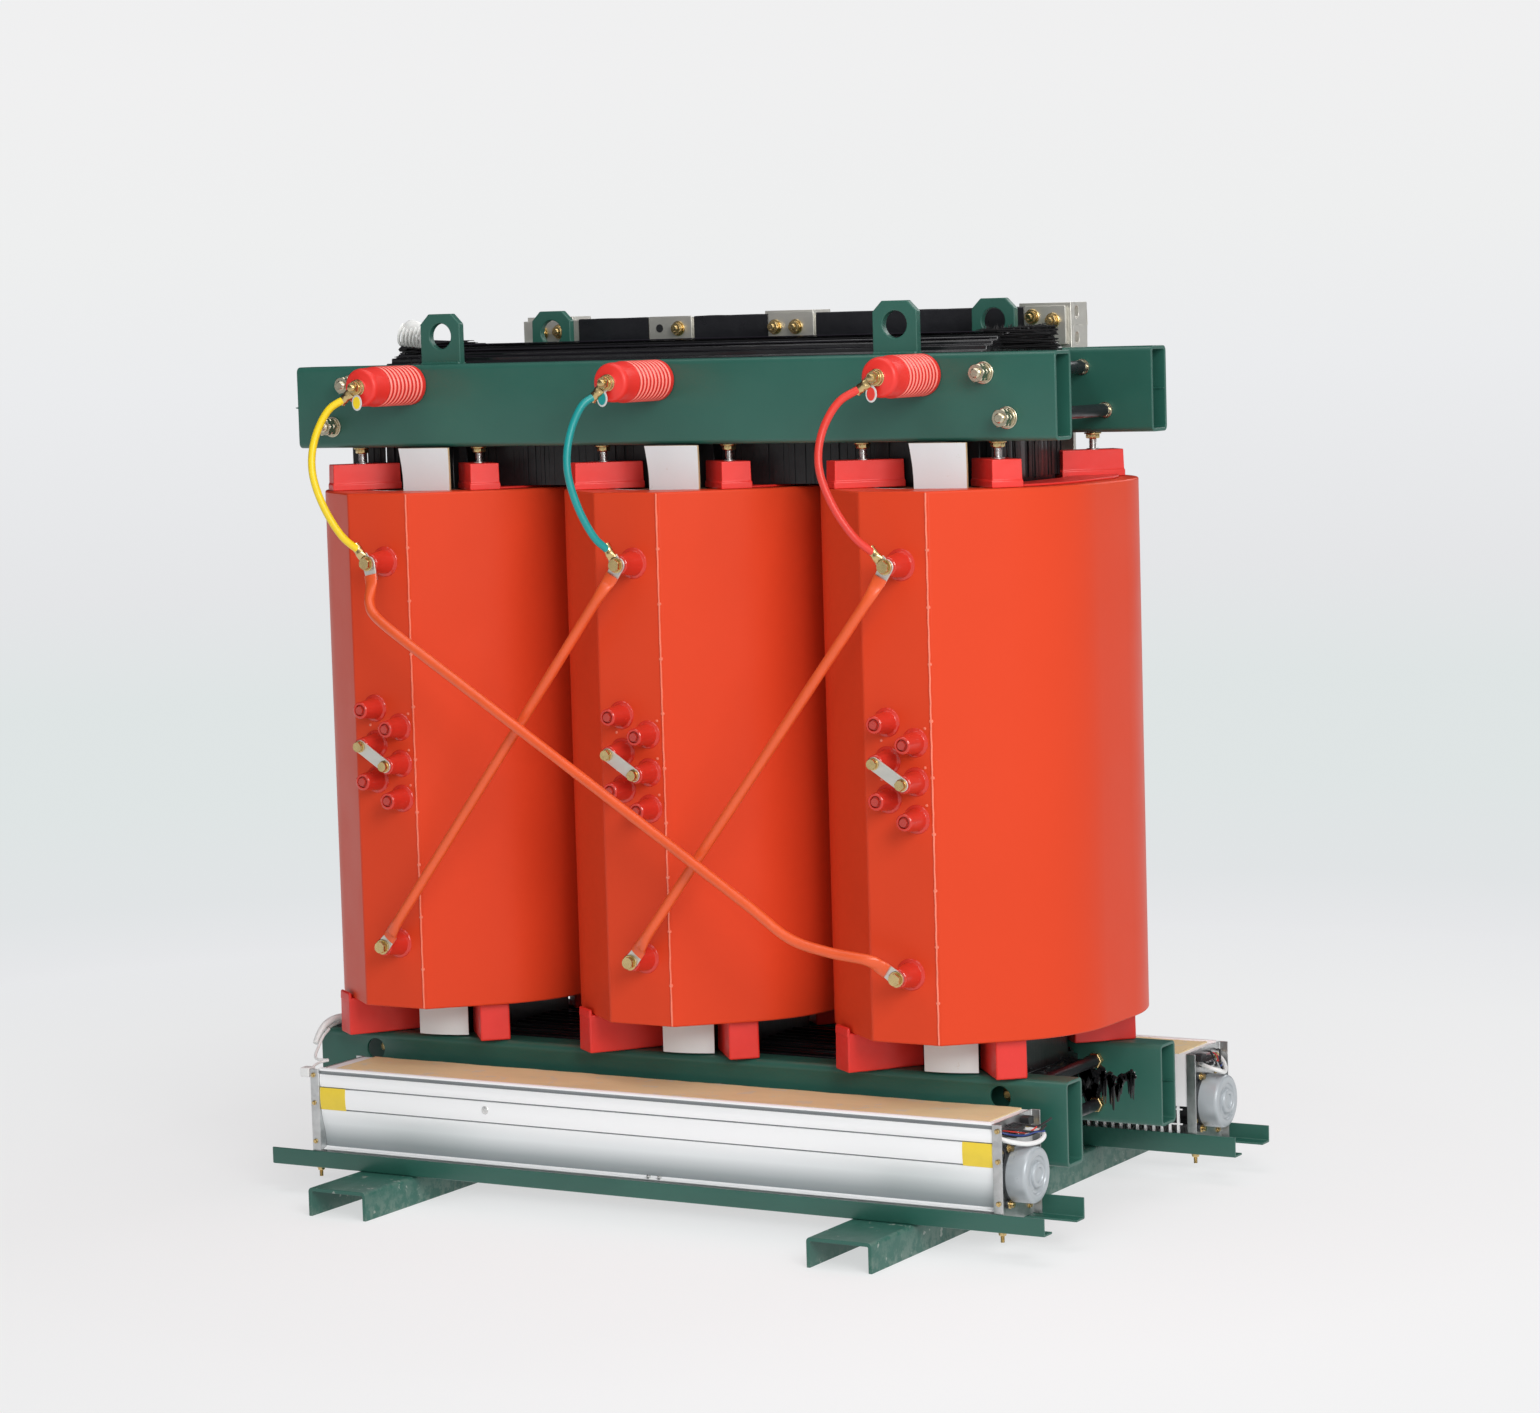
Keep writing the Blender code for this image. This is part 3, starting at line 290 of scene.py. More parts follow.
M["lam_yoke"] = laminated("lam_yoke", (0.02, 1, 0.05), (0.007, 0.007, 0.008), (0.035, 0.037, 0.040), 0.20)
M["lam_limb"] = laminated("lam_limb", (0.05, 1, 0.02), (0.006, 0.006, 0.007), (0.02, 0.02, 0.02), 0.32)
M["lv"] = laminated("lv_winding", (1, 1, 0.02), (0.030, 0.013, 0.009), (0.13, 0.055, 0.03), 0.34, 240.0)
M["lv_end"] = surface("lv_end", (0.16, 0.085, 0.045), 0.42, var=0.25, vscale=30.0, fine=240.0, fine_s=0.3,
                      fine_d=0.0006, coat=0.3, coat_r=0.15)


def lower_band():
    # brushed sheet with painted shade: its colour darkens towards its foot, where the band turns down away from the
    # light
    m, t, b = _mat("fan_lower_band_painted_shade")
    c = n(t, "ShaderNodeTexCoord")
    sp = n(t, "ShaderNodeSeparateXYZ")
    t.links.new(c.outputs["Object"], sp.inputs[0])
    g = noise_tex(t, coords(t, (0.4, 6, 6)), 4.0, 3.0)
    zz = n(t, "ShaderNodeMath", operation="MULTIPLY_ADD")
    t.links.new(g, zz.inputs[0])
    zz.inputs[1].default_value = 0.004
    t.links.new(sp.outputs["Z"], zz.inputs[2])
    # painted shade: dark grey at the foot, near white at the top of the band
    col = ramp(t, rng_map(t, zz.outputs[0], 0.074, 0.134, 0.0, 1.0),
               [(0.0, (0.24, 0.27, 0.28)), (0.22, (0.38, 0.42, 0.43)), (0.62, (0.82, 0.85, 0.86)), (1.0, (0.95, 0.96, 0.965))])
    t.links.new(col, b.inputs["Base Color"])
    t.links.new(rng_map(t, g, 0.3, 0.7, 0.34, 0.42), b.inputs["Roughness"])
    b.inputs["Metallic"].default_value = 0.14
    bump(t, b, noise_tex(t, coords(t, (0.4, 8, 8)), 80.0, 2.0), 0.05, 0.0002)
    return m


M["alu_low"] = lower_band()
# painted shade: a dark grey for the housing's grooves and the recess under its lip
M["alu_groove"] = surface("fan_groove_painted_shade", (0.30, 0.32, 0.33), 0.45, 0.4, var=0.05)


# ------------------------------------------------------------------ geometry
def place(a, b, c, axis):
    if axis == "x":
        return Vector((c, a, b))
    if axis == "y":
        return Vector((a, c, b))
    return Vector((a, b, c))


def prism(bm, outline, axis, lo, hi, mat=0):
    vs = [bm.verts.new(place(a, b, lo, axis)) for a, b in outline]
    ws = [bm.verts.new(place(a, b, hi, axis)) for a, b in outline]
    k = len(vs)
    fs = [bm.faces.new(vs[::-1]), bm.faces.new(ws)]
    for i in range(k):
        j = (i + 1) % k
        fs.append(bm.faces.new((vs[i], vs[j], ws[j], ws[i])))
    for f in fs:
        f.material_index = mat
    return fs


def box(bm, x0, x1, y0, y1, z0, z1, mat=0):
    return prism(bm, [(x0, y0), (x1, y0), (x1, y1), (x0, y1)], "z", z0, z1, mat)


def ring(bm, outer, inner, axis, levels, mat=0, end_mat=None):
    # a wall between two outlines with the same number of points, cut at each level
    k = len(outer)
    rows = []
    for c in levels:
        rows.append(([bm.verts.new(place(a, b, c, axis)) for a, b in outer],
                     [bm.verts.new(place(a, b, c, axis)) for a, b in inner]))
    for (o0, i0), (o1, i1) in zip(rows, rows[1:]):
        for i in range(k):
            j = (i + 1) % k
            bm.faces.new((o0[i], o0[j], o1[j], o1[i])).material_index = mat
            bm.faces.new((i0[j], i0[i], i1[i], i1[j])).material_index = mat
    em = mat if end_mat is None else end_mat
    for (o, q), flip in ((rows[0], True), (rows[-1], False)):
        for i in range(k):
            j = (i + 1) % k
            f = (o[i], q[i], q[j], o[j]) if flip else (o[i], o[j], q[j], q[i])
            bm.faces.new(f).material_index = em


def revolve(bm, prof, axis, ca, cb, segs=32, turn=0.0, mat=0):
    # prof: (radius, position along the axis), closed with flat ends
    rows = []
    for r, c in prof:
        if r < 1e-6:
            rows.append([bm.verts.new(place(ca, cb, c, axis))])
        else:
            rows.append([bm.verts.new(place(ca + r * math.cos(turn + 2 * math.pi * k / segs),
                                            cb + r * math.sin(turn + 2 * math.pi * k / segs), c, axis))
                         for k in range(segs)])
    for a, b in zip(rows, rows[1:]):
        for k in range(segs):
            l = (k + 1) % segs
            if len(a) == 1 and len(b) == 1:
                continue
            if len(a) == 1:
                f = bm.faces.new((a[0], b[l], b[k]))
            elif len(b) == 1:
                f = bm.faces.new((a[k], a[l], b[0]))
            else:
                f = bm.faces.new((a[k], a[l], b[l], b[k]))
            f.material_index = mat
    if len(rows[0]) > 1:
        bm.faces.new(rows[0][::-1]).material_index = mat
    if len(rows[-1]) > 1:
        bm.faces.new(rows[-1]).material_index = mat


def catmull(pts, step):
    p = [Vector(q) for q in pts]
    p = [p[0] * 2 - p[1]] + p + [p[-1] * 2 - p[-2]]
    out = []
    for i in range(1, len(p) - 2):
        k = max(1, int(round((p[i + 1] - p[i]).length / step)))
        a, b, c, d = p[i - 1], p[i], p[i + 1], p[i + 2]
        for q in range(k):
            t = q / k
            out.append(0.5 * ((2 * b) + (c - a) * t + (2 * a - 5 * b + 4 * c - d) * t * t
                              + (3 * b - a - 3 * c + d) * t ** 3))
    out.append(p[-2])
    return out


def sweep(bm, pts, size, segs=16, up=(0, -1, 0), mat=0):
    # size: radius, or a function of the share of the way giving (half width, half thickness along `up`)
    pts = [Vector(p) for p in pts]
    total = sum((b - a).length for a, b in zip(pts, pts[1:]))
    rows, run, last = [], 0.0, None
    for i, p in enumerate(pts):
        if i:
            run += (p - pts[i - 1]).length
        d = (pts[min(i + 1, len(pts) - 1)] - pts[max(i - 1, 0)]).normalized()
        w = last if last is not None else Vector(up)
        w = w - d * w.dot(d)
        if w.length < 1e-6:
            w = d.orthogonal()
        w.normalize()
        last = w if not callable(size) else Vector(up)
        s = d.cross(w).normalized()
        a, b = size(run / total, run, total) if callable(size) else (size, size)
        rows.append([bm.verts.new(p + s * (a * math.cos(2 * math.pi * k / segs))
                                  + w * (b * math.sin(2 * math.pi * k / segs))) for k in range(segs)])
    for r0, r1 in zip(rows, rows[1:]):
        for k in range(segs):
            l = (k + 1) % segs
            bm.faces.new((r0[k], r0[l], r1[l], r1[k])).material_index = mat
    bm.faces.new(rows[0][::-1]).material_index = mat
    bm.faces.new(rows[-1]).material_index = mat


def local(bm, build, loc, zdir, spin=0.0):
    # build geometry along +Z of its own frame, then stand it at loc with +Z along zdir
    sub = bmesh.new()
    build(sub)
    m = Matrix.Translation(Vector(loc)) @ Vector(zdir).to_track_quat("Z", "Y").to_matrix().to_4x4() \
        @ Matrix.Rotation(spin, 4, "Z")
    bmesh.ops.transform(sub, matrix=m, verts=sub.verts)
    vs = {}
    for v in sub.verts:
        vs[v] = bm.verts.new(v.co)
    for f in sub.faces:
        g = bm.faces.new([vs[v] for v in f.verts])
        g.material_index = f.material_index
    sub.free()


def hexagon(bm, r, z0, z1, c=1.2, mat=0, dish=True):
    # hexagonal head or nut with both rims turned down, as bolts have
    six = [(r * math.cos(math.pi / 3 * k), r * math.sin(math.pi / 3 * k)) for k in range(6)]
    ri = r * 0.866
    k12 = 24

    def loop(rad_hex, z, circ=None):
        out = []
        for k in range(k12):
            a = 2 * math.pi * k / k12
            m = (a % (math.pi / 3)) - math.pi / 6
            d = rad_hex * math.cos(math.pi / 6) / math.cos(m)
            if circ is not None:
                d = min(d, circ)
            out.append(bm.verts.new((d * math.cos(a), d * math.sin(a), z)))
        return out
    rows = [loop(r, z0, ri * 1.01), loop(r, z0 + c), loop(r, z1 - c), loop(r, z1, ri * 1.01),
            loop(r, z1, ri * 0.82)]
    for a, b in zip(rows, rows[1:]):
        for k in range(k12):
            l = (k + 1) % k12
            bm.faces.new((a[k], a[l], b[l], b[k])).material_index = mat
    bm.faces.new(rows[0][::-1]).material_index = mat
    bm.faces.new(rows[-1]).material_index = mat


def turned(bm, prof, segs=24, mat=0):
    revolve(bm, prof, "z", 0.0, 0.0, segs, 0.0, mat)


def thread(bm, r, z0, z1, pitch=1.75, mat=0, segs=16):
    prof, z = [(r * 0.8, z0)], z0
    while z + pitch <= z1:
        prof += [(r, z + pitch * 0.3), (r, z + pitch * 0.45), (r * 0.88, z + pitch * 0.9)]
        z += pitch
    prof.append((r * 0.75, z1))
    turned(bm, prof, segs, mat)


def bolt(loc, zdir, r=9.5, head=7.0, washer=13.0, spring=True, stud=0.0, nuts=0, spin=0.3, mat=0, wmat=0):
    def build(bm):
        z = 0.0
        if washer:
            turned(bm, [(washer - 0.8, 0.0), (washer, 0.5), (washer, 1.9), (washer - 0.8, 2.4)], 28, wmat)
            z = 2.4
        if spring:
            turned(bm, [(r * 0.93, z), (r * 0.96, z + 0.3), (r * 0.96, z + 1.7), (r * 0.93, z + 2.0)], 24, wmat)
            z += 2.0
        hexagon(bm, r, z, z + head, 1.1, mat)
        z += head
        for _ in range(nuts):
            hexagon(bm, r, z + 0.4, z + 0.4 + head * 0.9, 1.1, mat)
            z += head * 0.9 + 0.4
        if stud:
            thread(bm, r * 0.52, z - 1.0, z + stud, 1.75, mat)
    return lambda bm: local(bm, build, loc, zdir, spin)


def weld(bm, p, q, r=3.0, mat=0):
    # a rippled weld bead from p to q
    p, q = Vector(p), Vector(q)
    k = max(6, int((q - p).length / 2.2))
    pts = [p.lerp(q, i / k) for i in range(k + 1)]
    sweep(bm, pts, lambda s, run, tot: (r * (0.82 + 0.18 * abs(math.sin(run * 0.9))) * (1 if 0.02 < s < 0.98 else 0.6),
                                        r * (0.82 + 0.18 * abs(math.sin(run * 0.9))) * (1 if 0.02 < s < 0.98 else 0.6)),
          8, (0.3, 0.2, 1), mat)


def piece(name, bm, mats, nodes=(), body="transformer", bevel=0.0, segs=2, angle=32.0, weld_d=0.0):
    if isinstance(mats, str):
        mats = [mats]
    if weld_d:
        bmesh.ops.remove_doubles(bm, verts=bm.verts, dist=weld_d)
    bmesh.ops.recalc_face_normals(bm, faces=bm.faces)
    for v in bm.verts:
        v.co = (v.co - Vector((OX, 0, 0))) * 0.001
    for f in bm.faces:
        f.smooth = True
    me = bpy.data.meshes.new(name)
    bm.to_mesh(me)
    bm.free()
    me.set_sharp_from_angle(angle=math.radians(angle))
    for m in mats:
        me.materials.append(M[m])
    ob = bpy.data.objects.new(name, me)
    bpy.context.scene.collection.objects.link(ob)
    if bevel:
        b = ob.modifiers.new("edge", "BEVEL")
        b.width = bevel * 0.001
        b.segments = segs
        b.limit_method = "ANGLE"
        b.angle_limit = math.radians(angle)
        b.harden_normals = False
        b.miter_outer = "MITER_ARC"
    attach(ob, body)
    if nodes:
        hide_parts(*([nodes] if isinstance(nodes, str) else nodes))
    return ob


def rounded(x0, x1, y0, y1, r, k=5):
    out = []
    for cx, cy, a in ((x1 - r, y1 - r, 0), (x0 + r, y1 - r, 90), (x0 + r, y0 + r, 180), (x1 - r, y0 + r, 270)):
        for i in range(k + 1):
            t = math.radians(a + 90.0 * i / k)
            out.append((cx + r * math.cos(t), cy + r * math.sin(t)))
    return out


# ------------------------------------------------------------------ camera
AZ, EL, ROLL = 0.52673, 0.094548, -0.02866
back = Vector((math.sin(AZ) * math.cos(EL), -math.cos(AZ) * math.cos(EL), math.sin(EL)))
fwd = -back
right = fwd.cross(Vector((0, 0, 1))).normalized()
up = right.cross(fwd)
r_ = right * math.cos(ROLL) + up * math.sin(ROLL)
u_ = up * math.cos(ROLL) - right * math.sin(ROLL)
cam_data = bpy.data.cameras.new("camera")
cam_data.lens, cam_data.sensor_width = 96.74, 36.0
cam_data.sensor_fit = "HORIZONTAL"
cam_data.clip_start, cam_data.clip_end = 0.05, 200.0
cam = bpy.data.objects.new("camera", cam_data)
bpy.context.scene.collection.objects.link(cam)
rot = Matrix((r_, u_, back)).transposed()
cam.matrix_world = Matrix.Translation((3.09371, -5.24409, 1.29225)) @ rot.to_4x4()
bpy.context.scene.camera = cam

# ------------------------------------------------------------------ windings
def oval(r, xc, k=28):
    out = []
    for side in (1, -1):
        for i in range(k + 1):
            t = math.pi * i / k + (0 if side > 0 else math.pi)
            out.append((xc + r * math.cos(t), side * OVAL_A + r * math.sin(t)))
    return out


def hv_outline(xc, ri):
    r, cy = HV_R, -OVAL_A

    def touch(px, sgn):
        dx, dy = px, -PANEL_Y - cy
        return math.atan2(dy, dx) + sgn * math.acos(r / math.hypot(dx, dy))
    t1, t2 = touch(PANEL_R, 1), touch(PANEL_L, -1) + 2 * math.pi
    ang = [t1 * (1 - k / 14) for k in range(14)] + [-1e-6]
    ang += [1e-6] + [math.pi * k / 40 for k in range(1, 40)] + [math.pi - 1e-6]
    ang += [math.pi + 1e-6] + [math.pi + (t2 - math.pi) * k / 14 for k in range(1, 15)]
    pts = [(xc + r * math.cos(t), (OVAL_A if math.sin(t) > 0 else -OVAL_A) + r * math.sin(t)) for t in ang]
    ins = [(xc + ri * math.cos(t), (OVAL_A if math.sin(t) > 0 else -OVAL_A) + ri * math.sin(t)) for t in ang]
    pts += [(xc + PANEL_L, -PANEL_Y), (xc + PANEL_R, -PANEL_Y)]
    for s in (0.33, 0.67):
        t = t2 + (t1 + 2 * math.pi - t2) * s
        ins.append((xc + ri * math.cos(t), -OVAL_A + ri * math.sin(t)))
    return pts, ins


def boss(bm, x, z, r0, r1, tap):
    y = -PANEL_Y
    prof = [(r0 + 4.6, y + 2.0), (r0 + 4.4, y - 0.5), (r0 + 3.4, y - 1.8), (r0 + 1.6, y - 2.4), (r0 + 0.3, y - 3.4),
            (r0 - 0.4, y - 6.5),
            (r1 + 0.4, -TIP_Y + 3.0), (r1 + 0.1, -TIP_Y + 1.0), (r1 - 1.0, -TIP_Y)]
    if tap:
        prof += [(r1 - 3.2, -TIP_Y), (r1 - 3.8, -TIP_Y + 0.8), (r1 - 3.8, -TIP_Y + 4.5), (0.0, -TIP_Y + 4.5)]
    revolve(bm, prof, "y", x, z, 36)


for ph, xc in COILS:
    bm = bmesh.new()
    outer, inner = hv_outline(xc, 152.0)
    ring(bm, outer, inner, "z", [COIL_Z0, COIL_Z1])
    piece("hv_coil_body_" + ph, bm, "resin", "hv_coil_" + ph, bevel=2.6, segs=3, angle=16.0)
    # bosses, seam bead and small flash marks, cast with the coil
    bm = bmesh.new()
    for z in (TERM_ZT, TERM_ZB):
        boss(bm, xc + TERM_DX, z, 18.0, 13.0, False)
    for k, zl in enumerate(TAP_LZ):
        boss(bm, xc + TAP_LX, zl, 16.0, 12.0, k != 1)
    for k, zr in enumerate(TAP_RZ):
        boss(bm, xc + TAP_RX, zr, 16.0, 12.0, k != 1)
    piece("hv_coil_bosses_" + ph, bm, "boss", ())
    # seam bead, resin drips and flash marks, in the seam colour with its painted highlight
    bm = bmesh.new()
    sx = xc + PANEL_R - 2.4
    k = 90
    pts = [(sx + 0.25 * math.sin(i * 1.7), -PANEL_Y + 0.4, COIL_Z0 + 1.5 + (COIL_Z1 - COIL_Z0 - 3.0) * i / k)
           for i in range(k + 1)]
    sweep(bm, pts, lambda s, run, tot: (1.3 + 0.4 * noise.noise(Vector((run * 0.03, xc, 0))),
                                        2.3 + 0.8 * noise.noise(Vector((run * 0.05, xc, 5)))), 10, (0, -1, 0))
    for q in range(9):                 # drips of resin along the bead and by the taps
        z = COIL_Z0 + 60 + q * 78 + 20 * noise.noise(Vector((q, xc, 1)))
        revolve(bm, [(3.2, -PANEL_Y + 1.0), (2.6, -PANEL_Y - 0.8), (0.8, -PANEL_Y - 1.7)], "y",
                sx - 3.0 * noise.noise(Vector((q, xc, 3))), z, 10)
    for x, z in ((TAP_RX + 16, 722), (TAP_RX + 15, 668), (TAP_RX + 16, 616), (TAP_LX - 9, 704), (TAP_LX - 10, 650)):
        revolve(bm, [(2.4, -PANEL_Y + 1.0), (2.0, -PANEL_Y - 0.7), (0.6, -PANEL_Y - 1.2)], "y", xc + x, z, 10)
    piece("hv_coil_seam_" + ph, bm, "seam", ())
    bm = bmesh.new()
    for x, zs in ((TAP_LX, TAP_LZ), (TAP_RX, TAP_RZ)):
        for k, z in enumerate(zs):
            if k != 1:
                bolt((xc + x, -TIP_Y + 4.4, z), (0, -1, 0), 6.6, 4.2, 7.6, False, 0, 0, 0.2 + k)(bm)
    piece("tap_bolts_" + ph, bm, "resin_tap", ())
    # a thin cast rim inside the top and bottom openings
    bm = bmesh.new()
    for z0, z1 in ((COIL_Z1 - 10.0, COIL_Z1 - 2.5), (COIL_Z0 + 2.5, COIL_Z0 + 10.0)):
        ring(bm, oval(152.6, xc), oval(146.5, xc), "z", [z0, z1])
    piece("hv_coil_rim_" + ph, bm, "resin", (), bevel=1.2)
    # inner winding: layers of foil and film inside a resin skin
    bm = bmesh.new()
    ring(bm, oval(128.0, xc), oval(94.0, xc), "z", [COIL_Z0 + 4.0, COIL_Z1 - 4.0])
    piece("lv_coil_body_" + ph, bm, "lv", "lv_coil_" + ph, bevel=1.0)
    bm = bmesh.new()
    for r0, r1, dz in ((127.0, 121.5, 3.0), (119.5, 112.0, 1.6), (110.0, 102.0, 2.4), (100.0, 95.5, 3.4)):
        ring(bm, oval(r0, xc), oval(r1, xc), "z", [COIL_Z1 - 6.0, COIL_Z1 - 4.0 + dz])
        ring(bm, oval(r0, xc), oval(r1, xc), "z", [COIL_Z0 + 4.0 - dz, COIL_Z0 + 6.0])
    piece("lv_coil_ends_" + ph, bm, "lv_end", (), bevel=0.8)
    bm = bmesh.new()
    for q in range(26):                # dog-bone spacers in the cooling duct
        t = 2 * math.pi * (q + 0.5) / 26
        off = OVAL_A if math.sin(t) > 0 else -OVAL_A
        if math.degrees(t) % 360 > 225 and math.degrees(t) % 360 < 315:
            continue
        cx_, cy_ = xc + 146.0 * math.cos(t), off + 146.0 * math.sin(t)
        revolve(bm, [(2.4, COIL_Z0 + 1.0), (2.4, COIL_Z1 - 1.2)], "z", cx_, cy_, 8)
    piece("duct_spacers_" + ph, bm, "board_edge", ())
    # barrier with its front apron and board
    bm = bmesh.new()
    ring(bm, oval(141.0, xc), oval(138.2, xc), "z", [COIL_Z0 + 0.3, COIL_Z1 - 0.5])
    ts = [math.radians(-96 + 32.9 * q / 20) for q in range(21)]
    arc = [(xc + 141.0 * math.cos(t), -OVAL_A + 141.0 * math.sin(t)) for t in ts] + \
          [(xc + 137.6 * math.cos(t), -OVAL_A + 137.6 * math.sin(t)) for t in ts[::-1]]
    prism(bm, arc, "z", LZ1 + 2.0, COIL_Z0 + 20.0)
    piece("barrier_sheet_" + ph, bm, "board", "barrier_" + ph, bevel=0.4, segs=1)
    bm = bmesh.new()
    z0, z1 = COIL_Z1 - 30.0, UZ0 - 1.0
    kk = 10
    rows = []
    for q in range(kk + 1):            # the board leans slightly and bellies a little
        s = q / kk
        z = z0 + (z1 - z0) * s
        xl = xc - 8.5 - 5.0 * s + (3.0 * math.sin(math.pi * s))
        yb = -188.3 + 1.6 * math.sin(math.pi * s)
        rows.append([bm.verts.new(c) for c in ((xl, yb, z), (xc + 76.0, yb - 0.4, z),
                                               (xc + 76.0, yb + 3.6, z), (xl, yb + 4.0, z))])
    for a, b in zip(rows, rows[1:]):
        for q in range(4):
            l = (q + 1) % 4
            bm.faces.new((a[q], a[l], b[l], b[q])).material_index = 1 if q in (1, 3) else 0
    bm.faces.new(rows[0][::-1]).material_index = 1
    bm.faces.new(rows[-1]).material_index = 1
    piece("barrier_board_" + ph, bm, ["board", "board_edge"], (), bevel=0.35, segs=1)

# ------------------------------------------------------------------ core
def yoke(z0, z1, grow=0.0):
    h = [(60.0, 0.0), (78.0, 4.0), (95.0, 9.5), (113.0, 15.5), (127.0, 23.0)]
    lo, hi, last = [], [], None
    for y, d in h:
        if last is not None:
            lo.append((last, z0 + d))
            hi.append((last, z1 - d))
        lo.append((y, z0 + d))
        hi.append((y, z1 - d))
        last = y
    rr = lo + hi[::-1]
    return rr + [(-y, z) for y, z in rr[::-1]]


bm = bmesh.new()
prism(bm, yoke(80.0, 230.0), "x", -YOKE_X + 2, YOKE_X - 2)
prism(bm, yoke(1107.0, 1257.0), "x", -YOKE_X + 2, YOKE_X - 2)
yoke_ob = piece("core_yokes", bm, "lam_yoke", "core", bevel=2.0, segs=3)
bm = bmesh.new()
for _, xc in COILS:
    q = [(75.0, 90.0), (58.0, 90.0), (58.0, 112.0), (32.0, 112.0), (32.0, 127.0)]
    s = [(x, -y) for x, y in q[::-1]] + q
    s = s + [(-x, y) for x, y in q[::-1]] + [(-x, -y) for x, y in q]
    prism(bm, [(x + xc, y) for x, y in s], "z", 205.0, 1130.0)
piece("core_limbs", bm, "lam_limb", (), bevel=1.5)
# strips of black insulation between yoke and clamps, with ragged ends
def strip(bm, x0, x1, y, z, w, th, sag, seed, flip, twist=0.0):
    k = 12
    rows = []
    for i in range(k + 1):
        s = i / k
        x = x0 + (x1 - x0) * s
        wob = noise.noise(Vector((s * 3.0, seed, 0.3)))
        zz = z + sag * s * s + 2.4 * wob * s
        yy = y + 5.0 * s * noise.noise(Vector((s * 2.0, seed, 7.1)))
        tw = twist * s
        dy, dz = math.cos(tw) * w / 2, math.sin(tw) * w / 2
        tp = 1.0 if s < 0.7 else 1.0 - (s - 0.7) * (1.8 + 1.2 * noise.noise(Vector((seed, 2.0, 0))))
        tp = max(0.08, tp)
        rows.append([bm.verts.new(c) for c in (
            (x, yy - dy * tp, zz - dz * tp - th / 2), (x, yy + dy * tp, zz + dz * tp - th / 2),
            (x, yy + dy * tp, zz + dz * tp + th / 2), (x, yy - dy * tp, zz - dz * tp + th / 2))])
    for a, b in zip(rows, rows[1:]):
        for i in range(4):
            j = (i + 1) % 4
            bm.faces.new((a[i], a[j], b[j], b[i]))
    bm.faces.new(rows[0][::-1])
    bm.faces.new(rows[-1])


bm = bmesh.new()
for side in (-1, 1):
    for i in range(70 if side < 0 else 210):
        y = rng.uniform(-112, 70) if side < 0 else rng.uniform(-70, 60)
        d = 0.0 if abs(y) < 60 else (abs(y) - 60) * 0.33
        z = (1258.0 - d + rng.uniform(-16.0, 7.0)) if side < 0 else 1254.0 - d + rng.uniform(-19.0, 9.0)
        if side < 0:
            x0, x1 = rng.uniform(-486, -440), -530.0 - 0.57 * (y + 60.0) + abs(rng.gauss(0, 12))
        else:
            x0, x1 = rng.uniform(456, 480), 556.0 - 0.57 * y - abs(rng.gauss(0, 13))
        if abs(x1) < abs(x0) + 15:
            continue
        strip(bm, x0, x1, y, z, rng.uniform(5, 16) if side < 0 else rng.uniform(1.6, 4.2), 0.9,
              rng.uniform(-7, 4) if side < 0 else rng.uniform(-5, 5), i * 1.37 + side * 50, side, rng.uniform(-0.9, 0.9))
for i in range(260):                                       # frayed threads standing on the right-hand bundle
    x, y = rng.uniform(464, 548), rng.uniform(-62, 40)
    z = 1259.0 + rng.uniform(-4, 3)
    h = rng.uniform(3, 9)
    lean = rng.uniform(-3, 4)
    sweep(bm, [(x, y, z), (x + lean * 0.4, y, z + h * 0.6), (x + lean, y + rng.uniform(-2, 2), z + h)],
          lambda q, run, tot: (0.9 * (1.15 - q), 0.7 * (1.15 - q)), 5, (0, -1, 0.1))
piece("yoke_fringe_top", bm, "fringe", ())
bm = bmesh.new()
for y0 in (-108.0, -84.0, -60.0, 60.0, 84.0, 108.0):      # folded film edges that run along the yoke's steps
    for q in range(2):
        zz = 1257.6 - max(0.0, (abs(y0) - 60.0)) * 0.36 + q * 1.5
        k = 60
        pts = [(-495 + 990 * i / k, y0 + 0.5 * noise.noise(Vector((i * 0.11, y0, q))),
                zz + 0.45 * noise.noise(Vector((i * 0.09, y0, q + 9)))) for i in range(k + 1)]
        sweep(bm, pts, lambda s, run, tot: (4.4, 0.7), 8, (0, 0, 1))
piece("yoke_film_edges", bm, "varnish", ())
bm = bmesh.new()
for y0, zz in ((-122.0, 209.5), (-108.0, 217.0), (-91.0, 223.0), (-74.0, 228.0), (-52.0, 231.0), (-30.0, 231.4),
               (-8.0, 231.0), (16.0, 231.2), (40.0, 231.0), (72.0, 228.0), (92.0, 223.0), (110.0, 216.5)):
    k = 60
    pts = [(-500 + 1000 * i / k, y0 + 1.6 * noise.noise(Vector((i * 0.13, y0, 2.0))),
            zz + 0.8 * noise.noise(Vector((i * 0.10, y0, 11.0)))) for i in range(k + 1)]
    sweep(bm, pts, lambda s, run, tot: (3.6, 1.7), 10, (0, 0, 1))
piece("yoke_film_lower", bm, "varnish", ())
bm = bmesh.new()
